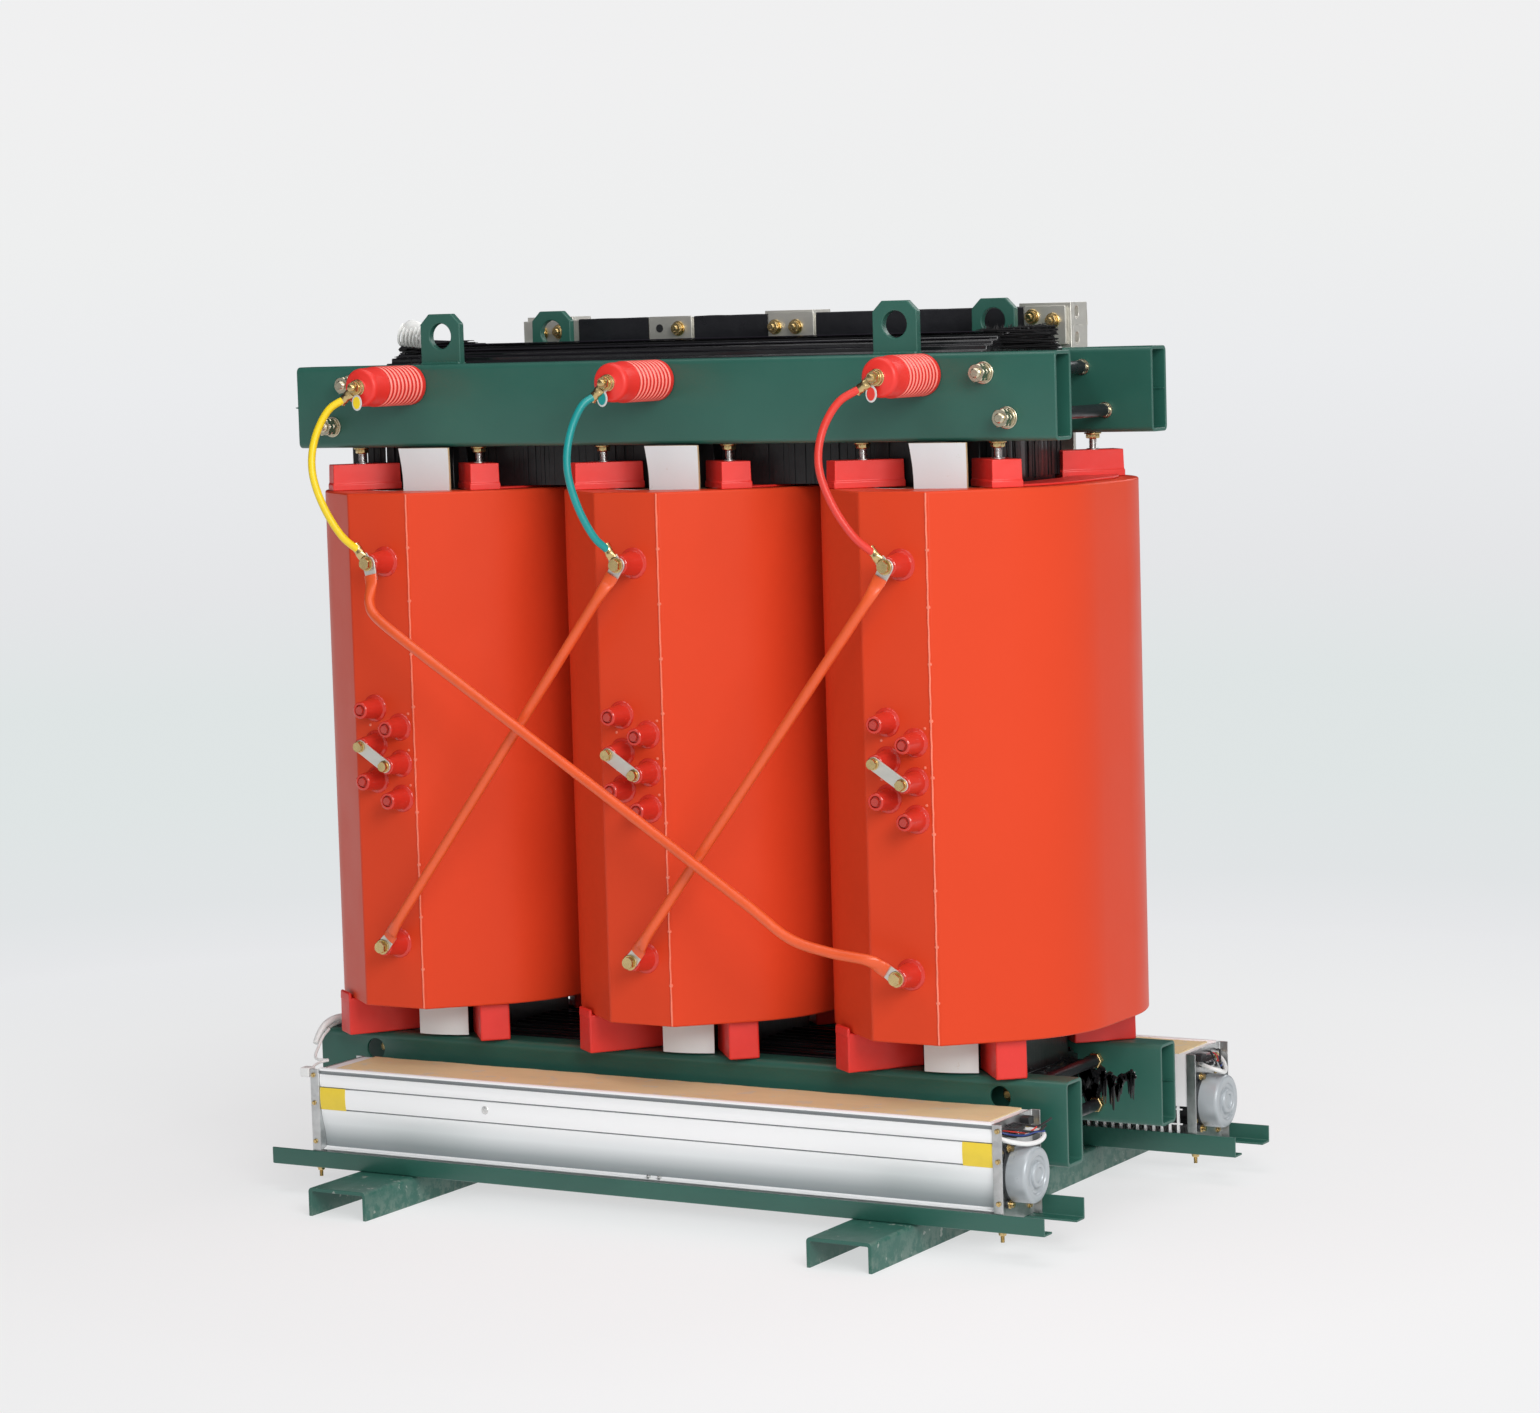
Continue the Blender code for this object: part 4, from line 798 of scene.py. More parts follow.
def hanging(x, y, w, z0, z1, along_x):
    dx, dy = (w / 2, 0.5) if along_x else (0.5, w / 2)
    b = 1.5 * noise.noise(Vector((x * 0.05, y * 0.05, 1.0)))
    vs = []
    for z, o in ((z0, 0.0), ((z0 + z1) / 2, b), (z1, 0.0)):
        ox, oy = (0.0, o) if along_x else (o, 0.0)
        vs.append([bm.verts.new(c) for c in ((x - dx + ox, y - dy + oy, z), (x + dx + ox, y - dy + oy, z),
                                             (x + dx + ox, y + dy + oy, z), (x - dx + ox, y + dy + oy, z))])
    for a, c in zip(vs, vs[1:]):
        for q in range(4):
            l = (q + 1) % 4
            bm.faces.new((a[q], a[l], c[l], c[q]))
    bm.faces.new(vs[0][::-1])
    bm.faces.new(vs[-1])


for sy in (-1, 1):                                         # painted shade: black curtains between the coil ends and the yoke, dark sheets that stand for the shade there
    x = -498.0
    while x < 502.0:
        w = rng.uniform(5.0, 11.0)
        if not (sy < 0 and -20 < x - min((c for _, c in COILS), key=lambda c: abs(x - c)) < 84):
            hanging(x, sy * (118.0 + rng.uniform(-1.5, 1.5)), w, COIL_Z1 + 4.0, 1128.0, True)
        x += w * 0.9
# more of the same dark strips left of the first coil, painted shade there too
x = -572.0
while x < -498.0:
    w = rng.uniform(4.0, 9.0)
    hanging(x, -121.0 + rng.uniform(-1.5, 1.5), w, COIL_Z1 + 5.0, 1112.0 + rng.uniform(-3, 5), True)
    x += w * 0.9
# and across both ends of the core, the same dark strips
for sx in (-1, 1):
    y = -104.0
    while y < 106.0:
        w = rng.uniform(4.0, 9.0)
        hanging(sx * (503.0 + rng.uniform(0.0, 4.0)), y, w, COIL_Z1 + 4.0 + rng.uniform(0, 3), 1118.0, False)
        y += w * 0.95
piece("yoke_shade_curtain", bm, "fringe", ())
bm = bmesh.new()
for side in (-1, 1):                                       # a vertical band of film down each outer corner
    for i in range(30):
        y = -104 + 208 * (i + 0.5) / 30 + rng.uniform(-2, 2)
        x = side * (YOKE_X + rng.uniform(0.5, 5.0))
        zt = 1236 - rng.uniform(0, 14)
        box(bm, x - 0.5, x + 0.5, y - 2.8, y + 2.8, 1112 + rng.uniform(0, 10), zt)
piece("yoke_end_film", bm, "fringe", ())
bm = bmesh.new()                                           # end faces: black varnish drips
for side in (-1, 1):
    for i in range(16):
        y = rng.uniform(-110, 110)
        z = rng.uniform(110, 215)
        r = rng.uniform(2.0, 5.0)
        revolve(bm, [(r, side * (YOKE_X - 3.0)), (r * 0.8, side * (YOKE_X - 0.6)), (r * 0.3, side * (YOKE_X + 0.4))],
                "x", y, z, 10)
piece("yoke_drips", bm, "varnish", ())
bm = bmesh.new()                                           # white tape knot at the left end
for q in range(7):
    t = q / 6
    pts = [(-492 + 40 * t + 4 * math.sin(a * 1.0), -96 + 10 * math.cos(a), 1277 + 14 * math.sin(a) - 5 * t)
           for a in [2 * math.pi * i / 24 for i in range(25)]]
    sweep(bm, pts, lambda s, run, tot: (3.6, 1.4), 8, (1, 0, 0.2))
sweep(bm, catmull([(-470, -92, 1262), (-482, -98, 1276), (-474, -101, 1288), (-458, -97, 1283), (-452, -94, 1266)], 4.0),
      lambda s, run, tot: (9.0 * (0.5 + 0.5 * math.sin(math.pi * s)) + 1.5, 5.5), 12, (0, -1, 0))
piece("tape_knot", bm, "tape", ())

# ------------------------------------------------------------------ clamps
def beam(name, node, front, x0, x1, z0, z1, holes, access, lugs):
    s = -1.0 if front else 1.0
    ya, yb = sorted((s * FRONT, s * INNER))
    bm = bmesh.new()
    o = rounded(ya, yb, z0, z1, 8.0, 6)
    i = rounded(ya + 5.0, yb - 5.0, z0 + 5.0, z1 - 5.0, 3.5, 6)
    ring(bm, o, i, "x", [x0, x1])
    ob = piece(name, bm, "green", node, bevel=0.7, segs=2, angle=50.0)
    cut = bmesh.new()
    for sx in (-1.0, 1.0):
        for hx, hz in holes:
            if access:
                lo, hi = (ya - 6, ya + 12) if front else (yb - 12, yb + 6)
                revolve(cut, [(16.0, lo), (16.0, hi)], "y", sx * hx, hz, 40)
    if access:
        bmesh.ops.recalc_face_normals(cut, faces=cut.faces)
        for v in cut.verts:
            v.co = (v.co - Vector((OX, 0, 0))) * 0.001
        me = bpy.data.meshes.new(name + "_cut")
        cut.to_mesh(me)
        tool = bpy.data.objects.new(name + "_cut", me)
        bpy.context.scene.collection.objects.link(tool)
        mod = ob.modifiers.new("holes", "BOOLEAN")
        mod.operation, mod.solver, mod.object = "DIFFERENCE", "EXACT", tool
        ob.modifiers.move(1, 0)
        dg = bpy.context.evaluated_depsgraph_get()
        new = bpy.data.meshes.new_from_object(ob.evaluated_get(dg))
        ob.modifiers.clear()
        ob.data = new
        bpy.data.objects.remove(tool, do_unlink=True)
        for p in new.polygons:
            p.use_smooth = True
        new.set_sharp_from_angle(angle=math.radians(35))
    cut.free()
    if lugs:
        yl = s * 151.0
        for tag, sx in (("left", -1.0), ("right", 1.0)):
            bm = bmesh.new()
            xc, h, c, k = sx * 382.5, 35.0, 15.0, 40
            out = [(xc - h, z1 - 3.0), (xc + h, z1 - 3.0), (xc + h, LUG_TOP - c), (xc + h - c, LUG_TOP),
                   (xc - h + c, LUG_TOP), (xc - h, LUG_TOP - c)]
            # plate with a round eye: the outline resampled against the circle, as a ring
            eye = [(xc + 19.0 * math.cos(2 * math.pi * q / k), 1273.0 + 19.0 * math.sin(2 * math.pi * q / k))
                   for q in range(k)]
            outer = []
            for q in range(k):
                a = 2 * math.pi * q / k
                d = Vector((math.cos(a), math.sin(a)))
                best = None
                for e in range(6):
                    p0, p1 = Vector(out[e]) - Vector((xc, 1273.0)), Vector(out[(e + 1) % 6]) - Vector((xc, 1273.0))
                    den = d.x * (p1 - p0).y - d.y * (p1 - p0).x
                    if abs(den) < 1e-9:
                        continue
                    t = (p0.x * (p1 - p0).y - p0.y * (p1 - p0).x) / den
                    u = (p0.x * d.y - p0.y * d.x) / den
                    if t > 0 and -1e-6 <= u <= 1 + 1e-6 and (best is None or t < best):
                        best = t
                outer.append((xc + d.x * best, 1273.0 + d.y * best))
            for cx_, cz_ in out:       # true corners
                q = min(range(k), key=lambda j: (outer[j][0] - cx_) ** 2 + (outer[j][1] - cz_) ** 2)
                outer[q] = (cx_, cz_)
            ring(bm, outer, eye, "y", [yl - 6.0, yl + 6.0])
            piece("%s_lug_%s" % (name, tag), bm, "green", (), bevel=1.4, segs=3, angle=40.0)
            bm = bmesh.new()
            for yy in (yl - 6.6, yl + 6.6):
                weld(bm, (xc - h, yy, z1 + 0.4), (xc + h, yy, z1 + 0.4), 3.0)
            piece("%s_lug_weld_%s" % (name, tag), bm, "green", ())
    return ob


beam("upper_beam_front", "upper_clamp_front", True, UX0, UX1, UZ0, UZ1, ROD_UP, False, True)
beam("upper_beam_rear", "upper_clamp_rear", False, UX0, UX1, UZ0, UZ1, ROD_UP, False, True)
beam("lower_beam_front", "lower_clamp_front", True, LX0, LX1, LZ0, LZ1, ROD_LO, True, False)
beam("lower_beam_rear", "lower_clamp_rear", False, LX0, LX1, LZ0, LZ1, ROD_LO, True, False)

# the seam weld inside each tube end, and varnish runs on the rear lower beam's inner face
bm = bmesh.new()
for s in (-1.0, 1.0):
    for x1, zc in ((UX1, 1171.0), (LX1, 166.0)):
        weld(bm, (x1 - 120.0, s * 174.6, zc), (x1 - 1.0, s * 174.6, zc), 1.6)
        weld(bm, (-x1 + 2.0, s * 174.6, zc), (-x1 + 120.0, s * 174.6, zc), 1.6)
piece("tube_seams", bm, "green", ())
bm = bmesh.new()
def splat(bm, x, z, r, run):
    y = INNER - 0.2
    k, ring0, ring1 = 22, [], []
    for i in range(k):
        a = 2 * math.pi * i / k
        rr = r * (1 + 0.35 * noise.noise(Vector((math.cos(a) * 1.3, math.sin(a) * 1.3, x * 0.1))))
        dz = -run if math.sin(a) < -0.75 else 0.0
        ring0.append(bm.verts.new((x + rr * math.cos(a) * (0.4 if dz else 1), y + 0.3, z + rr * math.sin(a) + dz)))
        ring1.append(bm.verts.new((x + rr * 0.7 * math.cos(a) * (0.4 if dz else 1), y - 0.6,
                                   z + rr * 0.7 * math.sin(a) + dz * 0.95)))
    for i in range(k):
        j = (i + 1) % k
        bm.faces.new((ring0[i], ring0[j], ring1[j], ring1[i]))
    bm.faces.new(ring1)
    bm.faces.new(ring0[::-1])


for i in range(26):
    splat(bm, rng.uniform(500, 532), rng.uniform(132, 196), rng.uniform(4.0, 12.0), rng.choice((0, 0, 8, 16)))
for i in range(34):
    q = rng.random()
    splat(bm, 530 + 62 * q, 172 + rng.uniform(-9, 7) + 6 * math.sin(q * 9), rng.uniform(2.5, 7.5), rng.choice((0, 0, 6, 14, 24, 32)))
piece("varnish_runs", bm, "varnish", ())

# ------------------------------------------------------------------ tie rods
for side, sx in (("left", -1.0), ("right", 1.0)):
    for k, (hx, hz) in enumerate(ROD_UP):
        bm = bmesh.new()
        x = sx * hx
        revolve(bm, [(8.0, -FRONT - 2), (8.0, FRONT + 2)], "y", x, hz, 20)
        for s in (-1, 1):
            bolt((x, s * (FRONT + 0.3), hz), (0, s, 0), 13.4, 10.0, 15.4, True, 5.5, 1, 0.35 + k + s * 0.2)(bm)
        piece("tie_rod_upper_%s_%d" % (side, k + 1), bm, "zinc", "upper_tie_rod_%s_%d" % (side, k + 1))
        bm = bmesh.new()
        prof = [(9.6, -INNER + 0.4)]
        for q in range(1, 26):
            yy = -INNER + 0.4 + (2 * INNER - 0.8) * q / 26
            prof.append((9.2 + 0.3 * noise.noise(Vector((q * 0.7, x, hz))), yy))
        prof.append((9.6, INNER - 0.4))
        revolve(bm, prof, "y", x, hz, 24)
        piece("tie_rod_sleeve_upper_%s_%d" % (side, k + 1), bm, "sleeve", ())
        bm = bmesh.new()
        for s in (-1, 1):
            revolve(bm, [(10.4, s * (INNER - 3.0)), (11.4, s * (INNER - 2.6)), (11.4, s * (INNER - 0.4))], "y", x, hz, 24)
            revolve(bm, [(9.9, s * (INNER - 9.5)), (10.6, s * (INNER - 8.8)), (10.6, s * (INNER - 3.0))], "y", x, hz, 6)
        piece("tie_rod_collar_upper_%s_%d" % (side, k + 1), bm, "zinc", ())
    for k, (hx, hz) in enumerate(ROD_LO):
        bm = bmesh.new()
        x, yi = sx * hx, INNER + 5.0
        revolve(bm, [(8.0, -yi - 2), (8.0, yi + 2)], "y", x, hz, 20)
        for s in (-1, 1):
            bolt((x, s * (yi + 0.3), hz), (0, s, 0), 12.8, 11.0, 14.0, False, 10.0, 0, 0.35 + k)(bm)
        piece("tie_rod_lower_%s_%d" % (side, k + 1), bm, "brass", "lower_tie_rod_%s_%d" % (side, k + 1))
        bm = bmesh.new()
        prof = [(9.2, -INNER + 0.5)] + [(8.8 + 0.3 * noise.noise(Vector((q, x, 4.0))),
                                          -INNER + 0.5 + (2 * INNER - 1.0) * q / 24) for q in range(1, 24)]
        prof.append((9.2, INNER - 0.5))
        revolve(bm, prof, "y", x, hz, 24)
        piece("tie_rod_sleeve_lower_%s_%d" % (side, k + 1), bm, "sleeve", ())
        bm = bmesh.new()
        for s in (-1, 1):
            revolve(bm, [(10.6, s * (INNER - 10.0)), (11.6, s * (INNER - 9.0)), (11.6, s * (INNER - 0.5))], "y", x, hz, 6)
        piece("tie_rod_collar_lower_%s_%d" % (side, k + 1), bm, "brass", ())

# ------------------------------------------------------------------ base channels and rails
for side in ("left", "right"):
    lo, hi = cad("base_channel_" + side)
    xc, y1 = (lo.x + hi.x) / 2 + OX, hi.y
    bm = bmesh.new()
    a, h, t, r = 50.7, 42.3, 5.5, 6.0
    def arc2(cx_, cz_, rad, a0, a1, k=5):
        return [(cx_ + rad * math.cos(math.radians(a0 + (a1 - a0) * i / k)),
                 cz_ + rad * math.sin(math.radians(a0 + (a1 - a0) * i / k))) for i in range(k + 1)]
    sec = [(xc - a, 0.0), (xc - a + t, 0.0)] + arc2(xc - a + t + 2, h - t - 2, 2.0, 180, 90) + \
        arc2(xc + a - t - 2, h - t - 2, 2.0, 90, 0) + [(xc + a - t, 0.0), (xc + a, 0.0)] + \
        arc2(xc + a - r, h - r, r, 0, 90) + arc2(xc - a + r, h - r, r, 90, 180)
    prism(bm, sec, "y", -y1, y1)
    piece("base_rail_" + side, bm, "green_scuffed", "base_channel_" + side, bevel=0.6, segs=2, angle=45.0)
    bm = bmesh.new()
    for s in (-1.0, 1.0):
        y0, y2 = sorted((s * 133.0, s * 178.0))
        box(bm, xc - 38.0, xc + 38.0, y0, y2, h - 0.3, LZ0 - 0.3)
    piece("base_feet_" + side, bm, "green", (), bevel=1.5, segs=3)
    bm = bmesh.new()
    for s in (-1.0, 1.0):
        for yy in (s * 132.6, s * 178.4):
            weld(bm, (xc - 37.0, yy, h + 1.2), (xc + 37.0, yy, h + 1.2), 2.6)
            weld(bm, (xc - 37.0, yy, LZ0 - 1.6), (xc + 37.0, yy, LZ0 - 1.6), 2.2)
        for xx in (xc - 38.4, xc + 38.4):
            weld(bm, (xx, s * 134.0, h + 1.2), (xx, s * 177.0, h + 1.2), 2.6)
    piece("base_welds_" + side, bm, "green", ())

for name, s, tall in (("fan_rail_front_outer", 1, 25.0), ("fan_rail_front_inner", -1, 30.0),
                      ("fan_rail_rear_inner", 1, 30.0), ("fan_rail_rear_outer", -1, 25.0)):
    lo, hi = cad(name)
    y = lo.y if s > 0 else hi.y
    x0, x1 = lo.x + OX, hi.x + OX
    t, w = 3.0, 25.0
    bm = bmesh.new()
    def pt(d, z):
        return (y + s * d, RAIL_Z + z)
    sec = [pt(2.2, 0.0), pt(w, 0.0), pt(w, t), pt(t + 1.4, t), pt(t + 0.4, t + 0.4), pt(t, t + 1.4), pt(t, tall),
           pt(0.0, tall), pt(0.0, 2.2), pt(0.6, 0.6)]
    prism(bm, sec, "x", x0, x1)
    piece(name + "_angle", bm, "green", name, bevel=0.5, segs=2, angle=40.0)

# ------------------------------------------------------------------ coil supports
def block(bm, xc, ang, r0, r1, w, z0, z1, step_z=None, step=3.0):
    t = math.radians(ang)
    oy = OVAL_A if math.sin(t) > 0 else -OVAL_A
    u, v = Vector((math.cos(t), math.sin(t))), Vector((-math.sin(t), math.cos(t)))

    def lay(r_a, r_b, hw, z):
        out = []
        for rr, ss in ((r_a, -hw), (r_b, -hw), (r_b, hw), (r_a, hw)):
            p = u * rr + v * ss
            out.append(bm.verts.new((xc + p.x, oy + p.y, z)))
        return out
    rows = [lay(r0, r1, w / 2, z0)]
    if step_z is None:
        rows.append(lay(r0 + 0.5, r1 - 0.6, w / 2 - 0.5, z1))
    else:
        rows.append(lay(r0, r1, w / 2, step_z))
        rows.append(lay(r0 + step, r1 - step, w / 2 - step, step_z + 1.6))
        rows.append(lay(r0 + step + 0.5, r1 - step - 0.8, w / 2 - step - 0.4, z1))
    for a, b in zip(rows, rows[1:]):
        for q in range(4):
            l = (q + 1) % 4
            bm.faces.new((a[q], a[l], b[l], b[q]))
    bm.faces.new(rows[0][::-1])
    bm.faces.new(rows[-1])


def arc_band(bm, xc, r0, r1, a0, a1, z0, z1, k=44):
    ts = [math.radians(a0 + (a1 - a0) * i / k) for i in range(k + 1)]
    o = [(xc + r1 * math.cos(t), (OVAL_A if math.sin(t) > 0 else -OVAL_A) + r1 * math.sin(t)) for t in ts]
    i = [(xc + r0 * math.cos(t), (OVAL_A if math.sin(t) > 0 else -OVAL_A) + r0 * math.sin(t)) for t in ts[::-1]]
    prism(bm, o + i, "z", z0, z1)


for ph, xc in COILS:
    z0, z1 = COIL_Z1 + 0.3, COIL_Z1 + 39.0
    for q, ang in enumerate((45, 135, 225, 315)):
        bm = bmesh.new()
        block(bm, xc, ang, 95.0, 199.2 if ang == 225 else 190.4, 45.6, z0, z1, z0 + 9.0, 1.1)
        piece("top_block_%s_%d" % (ph, q + 1), bm, "red", "coil_support_top_" + ph if q == 0 else (),
              bevel=2.2, segs=3, angle=20.0)
    bm = bmesh.new()
    arc_band(bm, xc, 106.0, 178.0, -44.0, 224.0, z0, z0 + 3.0)
    piece("top_ring_" + ph, bm, "red", (), bevel=0.8)
    bm = bmesh.new()
    st = bmesh.new()
    for sx in (-1.0, 1.0):
        for sy in (-1.0, 1.0):
            cx_, cy_ = xc + sx * 106.0, sy * 151.0
            def screw(b, cx_=cx_, cy_=cy_):
                thread(b, 5.6, 0.0, UZ0 - z1 - 8.0, 1.75, 0, 16)
            local(st, screw, (cx_, cy_, z1 - 0.5), (0, 0, 1))
            def heads(b):
                hexagon(b, 10.0, 0.0, 6.4, 1.0)
                turned(b, [(12.2, 6.4), (12.4, 6.8), (12.4, 8.0), (12.2, 8.4)], 24)
            local(bm, heads, (cx_, cy_, UZ0 - 9.0), (0, 0, 1), 0.4 + sx)
            revolve(st, [(9.0, z1 - 0.6), (9.4, z1 - 0.2), (9.4, z1 + 1.2), (8.8, z1 + 1.6)], "z", cx_, cy_, 24)
    piece("press_screw_nuts_" + ph, bm, "brass", ())
    piece("press_screw_studs_" + ph, st, "steel", ())
    z0, z1 = LZ1 + 0.3, COIL_Z0 - 0.3
    for q, (ang, r0, r1) in enumerate(((45, 95.0, 190.0), (135, 95.0, 190.0), (233, 97.0, 215.0), (311, 97.0, 190.0))):
        bm = bmesh.new()
        block(bm, xc, ang, r0, r1, 45.0, z0, z1)
        if ang == 233:
            block(bm, xc, ang, 209.4, 215.2, 44.4, z1 - 6.0, z1 + 8.3)
        piece("bottom_block_%s_%d" % (ph, q + 1), bm, "red", "coil_support_bottom_" + ph if q == 0 else (),
              bevel=2.6, segs=3, angle=20.0)
    bm = bmesh.new()
    arc_band(bm, xc, 106.0, 178.0, -44.0, 224.0, z1 - 3.0, z1)
    piece("bottom_ring_" + ph, bm, "red", (), bevel=0.8)

# ------------------------------------------------------------------ post insulators, leads, links
for ph, xc in COILS:
    x = xc + INS_DX
    f = -FRONT - 0.3
    prof = [(27.5, f), (29.3, f - 1.6), (29.5, f - 3.5), (29.5, f - 9.0)]
    y = f - 9.0
    for _ in range(9):
        prof += [(29.3, y - 1.4), (27.4, y - 2.4), (27.0, y - 3.4), (27.3, y - 4.4), (29.2, y - 5.6), (29.5, y - 6.4),
                 (29.5, y - 9.4)]
        y -= 9.6
    prof += [(29.0, y - 1.5), (28.2, y - 4.0), (28.0, -INS_TIP + 9.0), (27.2, -INS_TIP + 4.0), (25.0, -INS_TIP + 1.0),
             (22.5, -INS_TIP), (12.0, -INS_TIP), (11.0, -INS_TIP - 0.8), (10.6, -INS_TIP - 1.6)]
    bm = bmesh.new()
    revolve(bm, prof, "y", x, INS_Z, 56)
    # groove faces take the pale pink: painted highlight along the grooves
    for fc in bm.faces:
        c = fc.calc_center_median()
        if math.hypot(c.x - x, c.z - INS_Z) < 28.6 and f - 96.0 < c.y < f - 9.0:
            fc.material_index = 1
    piece("post_insulator_" + ph, bm, ["red", "groove"], "insulator_" + ph, angle=60.0)
    bm = bmesh.new()
    revolve(bm, [(9.2, -INS_TIP - 0.6), (9.2, -INS_TIP - 3.2)], "y", x, INS_Z, 28)
    bolt((x, -INS_TIP - 3.0, INS_Z), (0, -1, 0), 9.6, 2.0, 12.0, False, 0, 0, 0.2)(bm)
    piece("insulator_insert_" + ph, bm, "brass", ())


def lead_route(a, b, bow):
    out = []
    for s in (0.12, 0.24, 0.38, 0.52, 0.69, 0.84):
        out.append((a[0] + (b[0] - a[0]) * s - bow * math.sin(math.pi * s ** 0.75) ** 0.8,
                    a[1] + (b[1] - a[1]) * s - 38.0 * math.sin(math.pi * s),
                    a[2] + (b[2] - a[2]) * s))
    return out


def palm(bm, centre, direction, width, y0, y1, length, mat=0):
    # a flat lug round the bolt, in the plane of the panel, running out along `direction` (x, z)
    d = Vector(direction).normalized()
    s = Vector((-d[1], d[0]))
    h = width / 2
    pts = [(centre[0] + d[0] * length + s[0] * h * 0.86, centre[1] + d[1] * length + s[1] * h * 0.86)]
    for k in range(13):
        a = math.pi * k / 12
        w = s * (h * math.cos(a)) - d * (h * math.sin(a))
        pts.append((centre[0] + w[0], centre[1] + w[1]))
    pts.append((centre[0] + d[0] * length - s[0] * h * 0.86, centre[1] + d[1] * length - s[1] * h * 0.86))
    prism(bm, pts, "y", y0, y1, mat)


for ph, xc, key, bow, slot in (("a", -PITCH, "yellow", 60.0, "cable_yellow"), ("b", 0.0, "teal", 48.0, "cable_teal"),
                               ("c", PITCH, "cred", 73.0, "cable_red")):
    xa, xb = xc + INS_DX, xc + TERM_DX
    ya0, ya1 = -INS_TIP - 5.3, -INS_TIP - 8.3
    yb0, yb1 = -TIP_Y - 3.6, -TIP_Y - 6.6
    ya, yb = ya1 - 1.0, yb1 - 1.0
    mid = lead_route((xa, ya, INS_Z), (xb, yb, TERM_ZT), bow)
    da = Vector((mid[0][0] - xa, mid[0][2] - INS_Z)).normalized()
    db = Vector((mid[-1][0] - xb, mid[-1][2] - TERM_ZT)).normalized()
    ea = (xa + da[0] * 26, ya, INS_Z + da[1] * 26)
    eb = (xb + db[0] * 24, yb, TERM_ZT + db[1] * 24)
    pts = catmull([ea] + mid + [eb], 5.0)
    bm = bmesh.new()
    sweep(bm, pts, 5.5, 20)
    piece("hv_cable_" + ph, bm, key, "hv_lead_" + ph)
    bm = bmesh.new()
    palm(bm, (xa, INS_Z), da, 19.0, ya1, ya0, 15.0)
    palm(bm, (xb, TERM_ZT), db, 19.0, yb1, yb0, 14.0)
    piece("hv_lug_palms_" + ph, bm, "tin", (), bevel=0.5)
    bm = bmesh.new()
    for (p, d, yy) in ((Vector((xa, ya, INS_Z)), da, ya), (Vector((xb, yb, TERM_ZT)), db, yb)):
        dd = Vector((d[0], 0, d[1]))
        a0, a1 = p + dd * 11.0, p + dd * 33.0
        tgt = Vector(pts[6]) if yy == ya else Vector(pts[-7])
        a1 = a0.lerp(tgt, 1.0) if (tgt - a0).length < 30 else a1
        line = catmull([a0, a0.lerp(a1, 0.35), a0.lerp(a1, 0.7), a1], 2.0)
        sweep(bm, line, lambda s, run, tot: (7.4 - 0.9 * abs(math.sin(s * 3.14 * 3)) * (0.3 < s < 0.95),
                                             max(2.6, 6.6 * min(1.0, 0.35 + s * 2.2)) - 0.6 * abs(math.sin(s * 3.14 * 3)) * (0.3 < s < 0.95)),
              20, (0, -1, 0))
    piece("hv_lug_barrels_" + ph, bm, "brass", ())
    bm = bmesh.new()
    bolt((xa, ya1, INS_Z), (0, -1, 0), 9.0, 6.0, 10.8, True, 6.0, 0, 0.4)(bm)
    bolt((xb, yb1, TERM_ZT), (0, -1, 0), 9.4, 6.2, 11.0, False, 0.0, 0, 0.4)(bm)
    piece("hv_lead_bolts_" + ph, bm, "brass", ())
    # phase tag: a small blank oval plate under the insulator's stud
    tx, tz = xc + INS_DX + (0.5 if ph == "a" else (-7.0 if ph == "b" else -6.5)), INS_Z - 22.0
    bm = bmesh.new()
    k = 32
    def oval_pts(a, b):
        return [(tx + a * math.cos(2 * math.pi * q / k), tz + b * math.sin(2 * math.pi * q / k)) for q in range(k)]
    prism(bm, oval_pts(8.6, 11.6), "y", -INS_TIP - 8.6, -INS_TIP - 7.2)
    prism(bm, rounded(tx - 2.2, tx + 2.2, tz + 9.0, tz + 20.0, 1.0, 2), "y", -INS_TIP - 8.4, -INS_TIP - 7.4)
    piece("phase_tag_" + ph, bm, "grey_rim", (), bevel=0.4)
    bm = bmesh.new()
    prism(bm, oval_pts(6.2, 9.0), "y", -INS_TIP - 9.3, -INS_TIP - 8.5)
    piece("phase_tag_face_" + ph, bm, key, (), bevel=0.3)

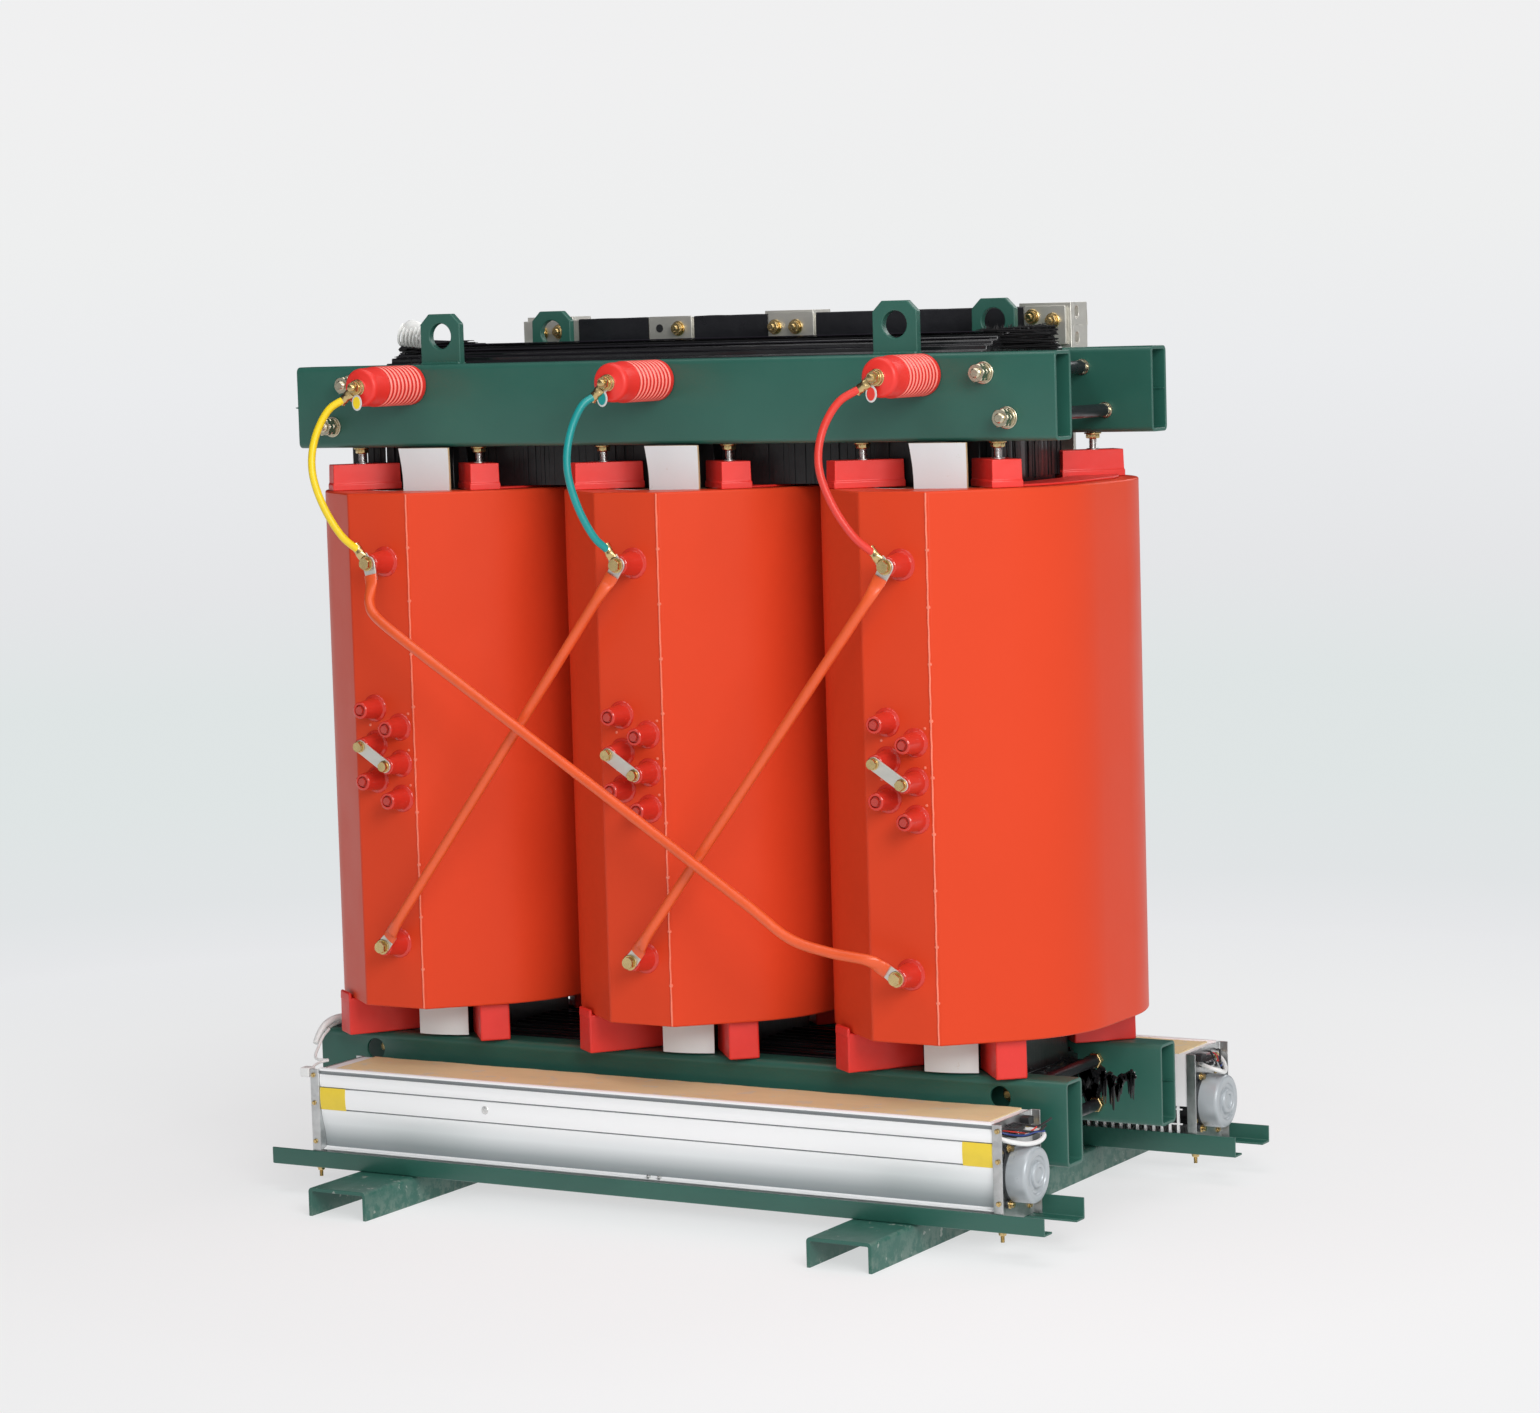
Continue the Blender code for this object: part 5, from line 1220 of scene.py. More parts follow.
LINK_Y, LINK_Y_OUT = -322.0, -347.0
DELTA = {
    "a_to_c": (-PITCH, PITCH,
               [(8.0, -322, -41.0), (12.0, -330, -57.0), (26.0, -338, -74.0), (70.0, LINK_Y_OUT, -101.0)],
               [(-214.0, LINK_Y_OUT, 97.0), (-153.0, -340, 53.0), (-97.0, -331, 35.0), (-39.0, -324, 26.0)]),
    "b_to_a": (0.0, -PITCH, [(-28.0, LINK_Y, -45.0)], [(31.0, LINK_Y, 35.0)]),
    "c_to_b": (PITCH, 0.0, [(-29.0, LINK_Y, -51.0)], [(31.0, LINK_Y, 36.0)]),
}
for key, (xs, xe, leave, arrive) in DELTA.items():
    ta, tb = (xs + TERM_DX, TERM_ZT), (xe + TERM_DX, TERM_ZB)
    head = [(ta[0] + dx, y, ta[1] + dz) for dx, y, dz in leave]
    tail = [(tb[0] + dx, y, tb[1] + dz) for dx, y, dz in arrive]
    p, q = Vector(head[-1]), Vector(tail[0])
    mid = head + [tuple(p.lerp(q, k / 5)) for k in range(1, 5)] + tail
    y0, y1 = -TIP_Y - 0.3, -TIP_Y - 3.3
    da = Vector((mid[0][0] - ta[0], mid[0][2] - ta[1])).normalized()
    db = Vector((mid[-1][0] - tb[0], mid[-1][2] - tb[1])).normalized()
    ea = (ta[0] + da[0] * 17, y1 - 0.4, ta[1] + da[1] * 17)
    eb = (tb[0] + db[0] * 17, y1 - 0.4, tb[1] + db[1] * 17)
    ea2 = (ta[0] + da[0] * 30, y1 - 2.0, ta[1] + da[1] * 30)
    eb2 = (tb[0] + db[0] * 30, y1 - 2.0, tb[1] + db[1] * 30)
    pts = catmull([ea, ea2] + mid + [eb2, eb], 6.0)
    bm = bmesh.new()
    seed = xs * 0.01

    def size(s, run, tot, seed=seed):
        d = min(run, tot - run)
        flat = max(0.0, 1.0 - d / 46.0)
        e = flat * flat * (3 - 2 * flat)
        wob = 0.25 * noise.noise(Vector((run * 0.02, seed, 0)))
        return (7.5 + 3.2 * e + wob, 7.5 - 4.6 * e + wob)
    sweep(bm, pts, size, 22, (0, -1, 0))
    piece("delta_tube_" + key, bm, "tube", "delta_link_" + key)
    bm = bmesh.new()
    palm(bm, ta, da, 21.5, y1, y0, 26.0)
    palm(bm, tb, db, 21.5, y1, y0, 26.0)
    piece("delta_palms_" + key, bm, "tin", (), bevel=0.6)
    bm = bmesh.new()
    bolt((tb[0], y1, tb[1]), (0, -1, 0), 9.4, 6.6, 11.2, False, 0, 0, 0.4)(bm)
    piece("delta_bolt_" + key, bm, "brass", ())

for ph, xc in COILS:
    p, q = Vector((xc + TAP_LX, TAP_LZ[1])), Vector((xc + TAP_RX, TAP_RZ[1]))
    d = (q - p).normalized()
    s_ = Vector((-d[1], d[0]))
    out = []
    for c, s in ((p, 1.0), (q, -1.0)):
        for k in range(13):
            a = math.pi * k / 12
            w = s_ * (9.5 * s * math.cos(a)) - d * (9.5 * s * math.sin(a))
            out.append((c[0] + w[0], c[1] + w[1]))
    bm = bmesh.new()
    prism(bm, out, "y", -TIP_Y - 3.3, -TIP_Y - 0.3)
    piece("tap_plate_" + ph, bm, "tin", "tap_link_" + ph, bevel=0.7, segs=3)
    bm = bmesh.new()
    for c, sp in ((p, 0.2), (q, 0.75)):
        bolt((c[0], -TIP_Y - 3.3, c[1]), (0, -1, 0), 8.0, 5.4, 8.8, False, 0, 0, sp)(bm)
    piece("tap_plate_bolts_" + ph, bm, "brass", ())

# ------------------------------------------------------------------ low-voltage bar and terminals
BY0, BY1 = cad("lv_bar")[0].y + 9.0, cad("lv_bar")[1].y
BY0 = 199.7
bm = bmesh.new()
prism(bm, rounded(BY0 + 0.8, BY1 - 0.2, 1253.0, 1291.0, 1.4, 3), "x", -469.0, 473.0)
box(bm, 403.0, 473.0, BY0 + 0.8, BY1 - 0.2, 1236.5, 1254.0)
piece("lv_bar_metal", bm, "tin", "lv_bar", bevel=0.5)
bm = bmesh.new()
SPANS = ((-366.0, -239.0), (-157.0, -27.0), (57.0, 405.0))
for x0, x1 in SPANS:
    k = 30
    rows = []
    for i in range(k + 1):
        s = i / k
        x = x0 + (x1 - x0) * s
        g = 0.9 * noise.noise(Vector((x * 0.035, 0.4, 2.0)))
        e = 0.8 if i in (0, k) else 1.6
        rows.append([bm.verts.new((x, a, b)) for a, b in
                     rounded(BY0 - 0.2 - e * 0.3, BY1 + 0.0, 1252.2 - e * 0.3 + g * 0.4, 1292.0 + e * 0.4 + g * 0.5, 2.4, 4)])
    for a, b in zip(rows, rows[1:]):
        for q in range(len(a)):
            l = (q + 1) % len(a)
            bm.faces.new((a[q], a[l], b[l], b[q]))
    bm.faces.new(rows[0][::-1])
    bm.faces.new(rows[-1])
piece("lv_bar_sleeve", bm, "sleeve", ())
bm = bmesh.new()
for x0, x1, z0, z1 in ((-236.0, -160.0, 1251.6, 1293.0), (-24.0, 54.0, 1251.6, 1294.5), (408.0, 474.0, 1236.0, 1292.6)):
    prism(bm, rounded(x0, x1, z0, z1, 2.5, 3), "y", BY0 - 3.2, BY0 + 0.4)
piece("lv_bar_plates", bm, "tin", (), bevel=0.5)
bm = bmesh.new()
for x, z in ((-435.0, 1272.0), (-402.0, 1274.0)):
    bolt((x, BY0 + 0.4, z), (0, -1, 0), 9.0, 6.2, 11.5, True, 3.0, 0, 0.3 + x)(bm)
for x, z in ((-183.0, 1274.0), (-12.0, 1272.5), (24.0, 1272.0), (421.0, 1277.0), (454.0, 1271.0)):
    bolt((x, BY0 - 3.2, z), (0, -1, 0), 9.0, 6.2, 11.5, True, 3.0, 0, 0.3 + x)(bm)
piece("lv_bar_bolts", bm, "brass", ())
# painted shade: a black disc on the plate stands for the dark inside of a hole
bm = bmesh.new()
revolve(bm, [(6.2, BY0 - 3.9), (6.2, BY0 - 3.1)], "y", -217.0, 1275.0, 24)
piece("lv_bar_hole_painted_shade", bm, "black_plastic", ())
for ph, xc in COILS:
    y0, y1 = BY1 + 0.3, BY1 + 8.3
    z0 = COIL_Z1 + 4.0
    bm = bmesh.new()
    sec = [(150.0, z0), (y0 + 3.0, z0), (y0 + 6.6, z0 + 1.4), (y1, z0 + 5.0), (y1, 1297.0), (y0, 1297.0),
           (y0, z0 + 10.0), (y0 - 2.0, z0 + 8.0), (150.0, z0 + 8.0)]
    prism(bm, sec, "x", xc - 35.0, xc + 48.8)
    piece("lv_riser_" + ph, bm, "tin", "lv_terminal_" + ph, bevel=0.6)
    bm = bmesh.new()
    # terminal flag with two slots, as rings round each slot
    def slot_pts(zc, k=8):
        out = []
        for i in range(k + 1):
            t = math.radians(0 + 180.0 * i / k)
            out.append((225.0 + 6.6 * math.cos(t), zc + 3.2 + 6.0 * math.sin(t)))
        for i in range(k + 1):
            t = math.radians(180 + 180.0 * i / k)
            out.append((225.0 + 6.6 * math.cos(t), zc - 3.2 + 6.0 * math.sin(t)))
        return out
    for za, zb, zc in ((1222.0, 1263.6, 1245.0), (1263.6, 1297.0, 1282.5)):
        inner = slot_pts(zc)
        outer = []
        cy_, cz_ = 225.0, zc
        for a, b in inner:
            d = Vector((a - cy_, b - cz_)).normalized()
            ts = []
            if abs(d.x) > 1e-9:
                ts.append(((259.0 if d.x > 0 else y1 - 1.0) - cy_) / d.x)
            if abs(d.y) > 1e-9:
                ts.append(((zb if d.y > 0 else za) - cz_) / d.y)
            tt = min(v for v in ts if v > 0)
            outer.append((cy_ + d.x * tt, cz_ + d.y * tt))
        for cpt in ((259.0, zb), (259.0, za), (y1 - 1.0, zb), (y1 - 1.0, za)):
            w = min(range(len(outer)), key=lambda j: (outer[j][0] - cpt[0]) ** 2 + (outer[j][1] - cpt[1]) ** 2)
            outer[w] = cpt
        ring(bm, outer, inner, "x", [xc + 41.0, xc + 49.0])
    piece("lv_flag_" + ph, bm, "tin", (), bevel=0.5, weld_d=0.01)
    bm = bmesh.new()
    for dx in (-18.0, 14.0):
        bolt((xc + dx, y1, 1270.0), (0, 1, 0), 9.0, 6.2, 11.5, True, 4.0, 0, 0.3)(bm)
    piece("lv_riser_bolts_" + ph, bm, "brass", ())

# ------------------------------------------------------------------ fans
def fan(tag, mirror, seed):
    lo, hi = cad(tag + "_fan_housing")
    yc = -264.75 if not mirror else 312.0
    x0, x1 = lo.x + OX, hi.x + OX

    def o2y(o):
        return yc + o if mirror else yc - o
    # outer skin from the top edge down: lip, two crowned bands, a hollow lower band and a foot
    skin = [(49.0, 190.0), (50.0, 192.6), (54.6, 192.8), (56.8, 191.4), (57.0, 188.8), (55.4, 187.0), (54.0, 184.8), (55.2, 183.0)]
    for q in range(7):
        s = q / 6
        skin.append((56.0 + 1.6 * math.sin(math.pi * s), 181.6 - 17.0 * s))
    skin += [(54.2, 164.3), (53.4, 163.9), (53.4, 162.9), (54.2, 162.5)]
    for q in range(9):
        s = q / 8
        skin.append((56.3 + 1.9 * math.sin(math.pi * (0.15 + 0.8 * s)), 162.2 - 29.5 * s))
    skin += [(54.0, 132.3), (53.2, 132.0), (53.2, 131.0), (54.0, 130.6)]
    for q in range(15):
        s = q / 14
        skin.append((55.8 - 10.6 * math.sin(math.pi * 0.5 * s) ** 1.4, 130.2 - 57.0 * s))
    skin += [(47.5, 71.5), (52.5, 70.6), (53.0, 69.4), (52.6, 68.4), (46.0, 67.8), (46.0, 50.0), (46.0, 46.2)]
    inner_sk = [(o - 2.4, max(48.6, min(187.6, z - (2.2 if z > 180 else 0)))) for o, z in skin]
    outer = [(-57.0, 112.0), (-57.0, 190.0)] + skin + [(-57.0, 46.2), (-57.0, 60.0)]
    inner = [(-54.6, 60.0), (-54.6, 48.6)] + [(43.6, 48.6)] + \
        [(o - 2.4, z) for o, z in skin[::-1] if 50.0 < z < 180.0] + [(50.5, 187.6), (-54.6, 187.6), (-54.6, 112.0)]
    bm = bmesh.new()
    prism(bm, [(o2y(o), z) for o, z in outer + inner], "x", x0, x1)
    for fc in bm.faces:
        c = fc.calc_center_median()
        # the lower band takes the material with painted shade towards its foot
        if 73.0 < c.z < 130.4 and (o2y(0) - c.y) * (-1 if mirror else 1) > 43.9:
            fc.material_index = 1
        # the grooves and the recess under the lip take the dark grey: painted shade in the recesses
        o = (o2y(0) - c.y) * (-1 if mirror else 1)
        if o > 52.6 and (162.4 < c.z < 164.4 or 130.5 < c.z < 132.4 or 182.6 < c.z < 188.4):
            fc.material_index = 2
    piece(tag + "_fan_shell", bm, ["alu", "alu_low", "alu_groove"], tag + "_fan_housing", angle=24.0)
    # intake grid on the core side
    bm = bmesh.new()
    k = int((x1 - x0 - 30) / 13.2)
    for i in range(k + 1):
        x = x0 + 15 + (x1 - x0 - 30) * i / k
        prism(bm, [(o2y(-57.6), 60.5), (o2y(-55.2), 60.5), (o2y(-55.2), 111.5), (o2y(-57.6), 111.5)], "x", x - 1.9, x + 1.9)
    for z in (64.0, 84.0, 106.0):
        prism(bm, [(o2y(-57.3), z), (o2y(-56.0), z), (o2y(-56.0), z + 2.2), (o2y(-57.3), z + 2.2)], "x", x0 + 8, x1 - 8)
    piece(tag + "_fan_intake_grid", bm, "alu", ())
    # protective paper strip laid over the outlet
    bm = bmesh.new()
    nx, ny = 90, 8
    grid = []
    for i in range(nx + 1):
        row = []
        for j in range(ny + 1):
            x = x0 + 22 + (x1 - x0 - 34) * i / nx
            o = -56.5 + 101.0 * j / ny
            z = 191.0 + 0.7 + 0.9 * noise.noise(Vector((x * 0.012, o * 0.03, seed))) + \
                0.5 * noise.noise(Vector((x * 0.06, o * 0.05, seed + 4)))
            row.append(bm.verts.new((x, o2y(o), max(190.4, z))))
        grid.append(row)
    low = [[bm.verts.new((v.co.x, v.co.y, 190.1)) for v in row] for row in grid]
    for i in range(nx):
        for j in range(ny):
            bm.faces.new((grid[i][j], grid[i + 1][j], grid[i + 1][j + 1], grid[i][j + 1]))
            bm.faces.new((low[i][j + 1], low[i + 1][j + 1], low[i + 1][j], low[i][j]))
    for i in range(nx):
        for j, sgn in ((0, 1), (ny, -1)):
            bm.faces.new((grid[i][j], low[i][j], low[i + 1][j], grid[i + 1][j]))
    for j in range(ny):
        for i in (0, nx):
            bm.faces.new((grid[i][j], grid[i][j + 1], low[i][j + 1], low[i][j]))
    piece(tag + "_fan_paper", bm, "paper", ())
    # end plates: folded sheet, open flange outwards
    for side, xa, sg in (("left", x0, -1.0), ("right", x1, 1.0)):
        bm = bmesh.new()
        h = FAN_HALF
        e0, e1, e2 = xa + sg * 0.4, xa + sg * 2.2, xa + sg * 15.3
        sec = [(e2, h), (xa + sg * 1.8, h), (xa + sg * 0.7, h - 0.5), (e0, h - 1.8), (e0, -h + 1.8),
               (xa + sg * 0.7, -h + 0.5), (xa + sg * 1.8, -h), (e2, -h), (e2, -h + 1.8), (e1 + sg * 0.6, -h + 1.8),
               (e1, -h + 2.6), (e1, h - 2.6), (e1 + sg * 0.6, h - 1.8), (e2, h - 1.8)]
        prism(bm, [(x, o2y(o)) for x, o in sec], "z", RAIL_Z + 3.3, 191.0)
        piece("%s_fan_plate_%s" % (tag, side), bm, "galv", "%s_fan_end_%s" % (tag, side),
              bevel=0.35, segs=2, angle=40.0)
        bm = bmesh.new()
        for o, z in ((-44.0, 60.0), (44.0, 60.0), (-44.0, 172.0), (44.0, 172.0), (-38.0, 88.0), (40.0, 150.0)):
            bolt((e1, o2y(o), z), (sg, 0, 0), 3.6, 2.4, 5.0, False, 0, 0, o)(bm)
        for z in (82.0, 140.0, 182.0):
            bolt((xa + sg * 9.0, o2y(FAN_HALF), z), (0, 1 if mirror else -1, 0), 2.6, 1.6, 3.6, False, 0, 0, z)(bm)
        piece("%s_fan_screws_%s" % (tag, side), bm, "brass", ())
    # motor: turned can with a stepped face, laminations behind, and a mounting bracket
    xm = x1 + 3.3
    bm = bmesh.new()
    prof = [(38.2, xm), (39.3, xm + 0.8), (39.5, xm + 2.0)]
    prof += [(39.5, xm + 30.0), (39.1, xm + 32.6), (37.9, xm + 34.8), (36.2, xm + 35.8), (34.4, xm + 36.0),
             (27.5, xm + 36.2), (26.6, xm + 35.6), (25.8, xm + 34.0), (24.8, xm + 33.6), (19.0, xm + 33.6),
             (18.2, xm + 34.2), (17.6, xm + 37.4), (16.6, xm + 38.6), (15.0, xm + 39.0), (11.6, xm + 39.0),
             (10.8, xm + 38.4), (10.2, xm + 36.6), (9.4, xm + 36.2), (0.0, xm + 36.2)]
    revolve(bm, prof, "x", yc, FAN_AXIS_Z, 64)
    piece(tag + "_fan_motor_can", bm, "motor", tag + "_fan_motor", angle=40.0)
    bm = bmesh.new()
    revolve(bm, [(40.2, xm + 1.0), (40.2, xm + 6.0)], "x", yc, FAN_AXIS_Z, 48)
    for q in range(3):
        a = math.radians(90 + 120 * q + 30)
        cy_, cz_ = yc + 45.0 * math.cos(a), FAN_AXIS_Z + 45.0 * math.sin(a)
        revolve(bm, [(6.0, xm - 1.0), (6.0, xm + 3.0)], "x", cy_, cz_, 20)
    piece(tag + "_fan_motor_seat", bm, "motor_dark", (), bevel=0.6)
    bm = bmesh.new()
    for q in range(3):
        a = math.radians(90 + 120 * q + 30)
        bolt((xm + 3.0, yc + 45.0 * math.cos(a), FAN_AXIS_Z + 45.0 * math.sin(a)), (1, 0, 0), 4.2, 3.2, 6.0, True, 0, 0, q)(bm)
    piece(tag + "_fan_motor_screws", bm, "brass", ())
    # wiring over the motor: white sheathed loop, three cores and a black terminal block
    base = Vector((x1, 0, 0))

    def w(pts, r, mat, nm, sg=10):
        b = bmesh.new()
        sweep(b, catmull([(x1 + p[0], o2y(p[1]), p[2]) for p in pts], 2.0), r, sg)
        piece("%s_fan_%s" % (tag, nm), b, mat, ())
    w([(2.6, 50, 172), (10, 45, 168), (20, 34, 163), (31, 14, 158), (38, -8, 158), (38, -24, 163), (28, -31, 167),
       (15, -26, 169), (4, -16, 170)], 3.4, "white_wire", "wire_sheath", 14)
    w([(3.0, 38, 176), (14, 28, 172), (24, 8, 168), (34, -6, 171), (40, -22, 170)], 1.3, "blue_wire", "wire_blue")
    w([(3.0, 34, 178), (14, 22, 175), (24, 4, 171), (29, -6, 173), (31, -16, 176)], 1.0, "cred", "wire_red")
    w([(3.0, 46, 180), (12, 36, 182), (20, 20, 178), (27, 4, 173), (36, -12, 171), (40, -26, 177)], 1.7, "black_plastic", "wire_black_2")
    w([(3.0, 20, 182), (10, 8, 184), (20, -6, 180), (30, -20, 176), (36, -36, 180), (40, -44, 184)], 1.5, "black_plastic", "wire_black_3")
    w([(3.0, 50, 164), (8, 47, 158), (12, 44, 150), (10, 43, 140), (3.6, 42, 134)], 1.6, "black_plastic", "wire_black_4")
    w([(3.0, 30, 173), (12, 20, 169), (22, 2, 166), (30, -14, 168), (34, -30, 172)], 1.5, "black_plastic", "wire_black")
    bm = bmesh.new()
    prism(bm, rounded(o2y(-2) - 15, o2y(-2) + 15, 164.0, 178.0, 2.0, 3), "x", x1 + 3.0, x1 + 13.0)
    prism(bm, rounded(o2y(-30) - 8, o2y(-30) + 8, 176.0, 187.0, 2.0, 3), "x", x1 + 3.0, x1 + 16.0)
    piece(tag + "_fan_terminal_block", bm, "black_plastic", (), bevel=0.6)
    bm = bmesh.new()
    for q in range(3):
        bolt((x1 + 13.0, o2y(-2) - 9 + 9 * q, 171.0), (1, 0, 0), 2.4, 1.6, 0, False, 0, 0, q)(bm)
    piece(tag + "_fan_terminal_screws", bm, "steel", ())
    # small round plug and two rivets in the skin, blank patches where the stickers are
    bm = bmesh.new()
    fx = x0 + 296.0
    revolve(bm, [(0.0, o2y(56.6)), (6.4, o2y(56.8)), (6.6, o2y(57.4)), (5.6, o2y(58.6)), (2.6, o2y(58.9)), (2.2, o2y(58.2)), (0.0, o2y(58.2))],
            "y", fx, 150.0, 28)
    for dx in (-8.0, 10.0):
        revolve(bm, [(3.0, o2y(51.0)), (2.8, o2y(54.2)), (1.2, o2y(55.0))], "y", x0 + 578 + dx, 73.6, 14)
    piece(tag + "_fan_plug", bm, "steel", ())
    bm = bmesh.new()
    for xs in (x0 + 0.4, x1 - 46.0):
        k = 8
        rows = []
        for i in range(k + 1):
            z = 163.4 - 33.0 * i / k
            s = (162.2 - z) / 29.5
            o = 56.3 + 1.9 * math.sin(math.pi * (0.15 + 0.8 * s)) + 0.25
            w_ = 45.6
            rows.append([bm.verts.new(c) for c in ((xs, o2y(o), z), (xs + w_, o2y(o), z), (xs + w_, o2y(o - 0.6), z),
                                                   (xs, o2y(o - 0.6), z))])
        for a, b in zip(rows, rows[1:]):
            for i in range(4):
                j = (i + 1) % 4
                bm.faces.new((a[i], a[j], b[j], b[i]))
        bm.faces.new(rows[0][::-1])
        bm.faces.new(rows[-1])
    piece(tag + "_fan_patches", bm, "sticker", ())
    # impeller: thin curved blades between discs
    lo, hi = cad(tag + "_fan_impeller")
    xa, xb = lo.x + OX + 4.6, hi.x + OX - 4.6
    xmid = (xa + xb) / 2
    bm = bmesh.new()
    nb = 32
    for q in range(nb):
        t = 2 * math.pi * q / nb
        prof = []
        for i in range(6):
            s = i / 5
            rr = 27.5 + 11.6 * s
            a = t + 0.42 * s * s + 0.10 * s
            prof.append((rr, a))
        pts = [(yc + r1 * math.cos(a + 0.6 / r1), FAN_AXIS_Z + r1 * math.sin(a + 0.6 / r1)) for r1, a in prof] + \
              [(yc + r1 * math.cos(a - 0.6 / r1), FAN_AXIS_Z + r1 * math.sin(a - 0.6 / r1)) for r1, a in prof[::-1]]
        prism(bm, pts, "x", xa + 1.0, xb - 1.0)
    kd = 8
    for i in range(kd + 1):
        xd = xa + 1.0 + (xb - xa - 2.0) * i / kd
        circ = [(yc + 39.8 * math.cos(2 * math.pi * j / 64), FAN_AXIS_Z + 39.8 * math.sin(2 * math.pi * j / 64)) for j in range(64)]
        if i in (0, kd):
            prism(bm, circ, "x", xd - 1.0, xd + 1.0)
        else:
            hole = [(yc + 26.5 * math.cos(2 * math.pi * j / 64), FAN_AXIS_Z + 26.5 * math.sin(2 * math.pi * j / 64)) for j in range(64)]
            ring(bm, circ, hole, "x", [xd - 0.8, xd + 0.8])
    for a0, a1 in ((xa - 4.4, xa + 1.0), (xb - 1.0, xb + 4.4)):
        revolve(bm, [(5.0, a0), (5.0, a1)], "x", yc, FAN_AXIS_Z, 20)
    piece(tag + "_fan_blades", bm, "impeller", tag + "_fan_impeller", body=tag + "_impeller", angle=40.0)
    # fixing screws through the rails
    bm = bmesh.new()
    for xx in (x0 - 8.0, x1 + 9.0):
        for o in (FAN_HALF - 9.0, -FAN_HALF + 9.0):
            def scr(b):
                hexagon(b, 5.5, 0.6, 4.6, 0.7)
                turned(b, [(6.6, 4.6), (6.8, 4.9), (6.8, 5.9)], 20)
                thread(b, 2.9, -9.0, 1.0, 1.0, 0, 12)
            local(bm, scr, (xx, o2y(o), RAIL_Z - 6.2), (0, 0, 1), 0.3)
    piece(tag + "_fan_rail_screws", bm, "brass", ())


fan("front", False, 1.0)
fan("rear", True, 9.0)

# conduit from the left fan end up to the lower clamp
bm = bmesh.new()
sweep(bm, catmull([(-560, -128, 236), (-584, -140, 240), (-606, -170, 240), (-614, -192, 233), (-618, -204, 220),
                   (-618, -214, 206)], 3.0), 5.2, 14)
sweep(bm, catmull([(-560, -120, 231), (-590, -134, 233), (-612, -160, 232), (-622, -186, 224)], 3.0), 4.4, 14)
sweep(bm, catmull([(-606, -196, 226), (-603, -216, 218), (-600, -232, 206), (-592, -252, 196), (-580, -262, 192),
                   (-560, -264, 193)], 3.0), 2.2, 10)
piece("left_conduit", bm, "white_wire", ())
bm = bmesh.new()
prism(bm, rounded(-327.0, -309.0, 178.0, 192.0, 2.0, 3), "x", -566.0, -550.5)
sweep(bm, catmull([(-556, -312, 184), (-560, -300, 190), (-562, -282, 192), (-556, -268, 193)], 2.0), 1.8, 10)
piece("left_connector", bm, "white_wire", (), bevel=0.8)

# ------------------------------------------------------------------ stage and light
def plain(name, rgb, rough):
    m, t, b = _mat(name)
    b.inputs["Base Color"].default_value = (*rgb, 1)
    b.inputs["Roughness"].default_value = rough
    b.inputs["Specular IOR Level"].default_value = 0.15
    return m, t, b


PAPER = [(0.0, (0.871, 0.871, 0.875)), (0.11, (0.855, 0.862, 0.863)), (0.212, (0.831, 0.839, 0.855)),
         (0.354, (0.780, 0.788, 0.803)), (0.43, (0.736, 0.780, 0.780)), (0.50, (0.736, 0.780, 0.780)),
         (0.566, (0.752, 0.775, 0.787)), (0.60, (0.791, 0.799, 0.815)), (0.65, (0.88, 0.885, 0.89)),
         (0.69, (0.925, 0.928, 0.932)), (1.0, (0.927, 0.934, 0.938))]


def vdot(t, vec, const):
    x = n(t, "ShaderNodeVectorMath", operation="DOT_PRODUCT")
    t.links.new(vec, x.inputs[0])
    x.inputs[1].default_value = const
    return x.outputs["Value"]


fm, ft, fb = plain("floor", (0.90, 0.905, 0.91), 0.9)
# painted light: the floor glows with the brightness of a paper sweep, which fades with the distance from the middle of
# the floor, the same all the way round
pos = n(ft, "ShaderNodeNewGeometry")
flat = n(ft, "ShaderNodeVectorMath", operation="MULTIPLY")
ft.links.new(pos.outputs["Position"], flat.inputs[0])
flat.inputs[1].default_value = (1.0, 1.0, 0.0)
dist = n(ft, "ShaderNodeVectorMath", operation="LENGTH")
ft.links.new(flat.outputs[0], dist.inputs[0])
away = n(ft, "ShaderNodeMath", operation="ADD")
ft.links.new(dist.outputs["Value"], away.inputs[0])
away.inputs[1].default_value = 6.09
fall = n(ft, "ShaderNodeMath", operation="DIVIDE")
fall.inputs[0].default_value = 3.784
ft.links.new(away.outputs[0], fall.inputs[1])
height = rng_map(ft, fall.outputs[0], 0.0, 0.62, 0.17, 0.79)
em = n(ft, "ShaderNodeEmission")
ft.links.new(ramp(ft, height, PAPER), em.inputs["Color"])
# painted light: near the middle at most 0.36 of the floor is lit diffuse and the rest glows, so cast shadows stay faint
mx = n(ft, "ShaderNodeMixShader")
ft.links.new(rng_map(ft, dist.outputs["Value"], 2.6, 1.1, 0.0, 0.36), mx.inputs[0])
ft.links.new(em.outputs[0], mx.inputs[1])
ft.links.new(fb.outputs[0], mx.inputs[2])
ft.links.new(mx.outputs[0], ft.nodes.get("Material Output").inputs["Surface"])
bm = bmesh.new()
k = 96
circle = [bm.verts.new((60 * math.cos(2 * math.pi * i / k), 60 * math.sin(2 * math.pi * i / k), 0)) for i in range(k)]
bm.faces.new(circle)
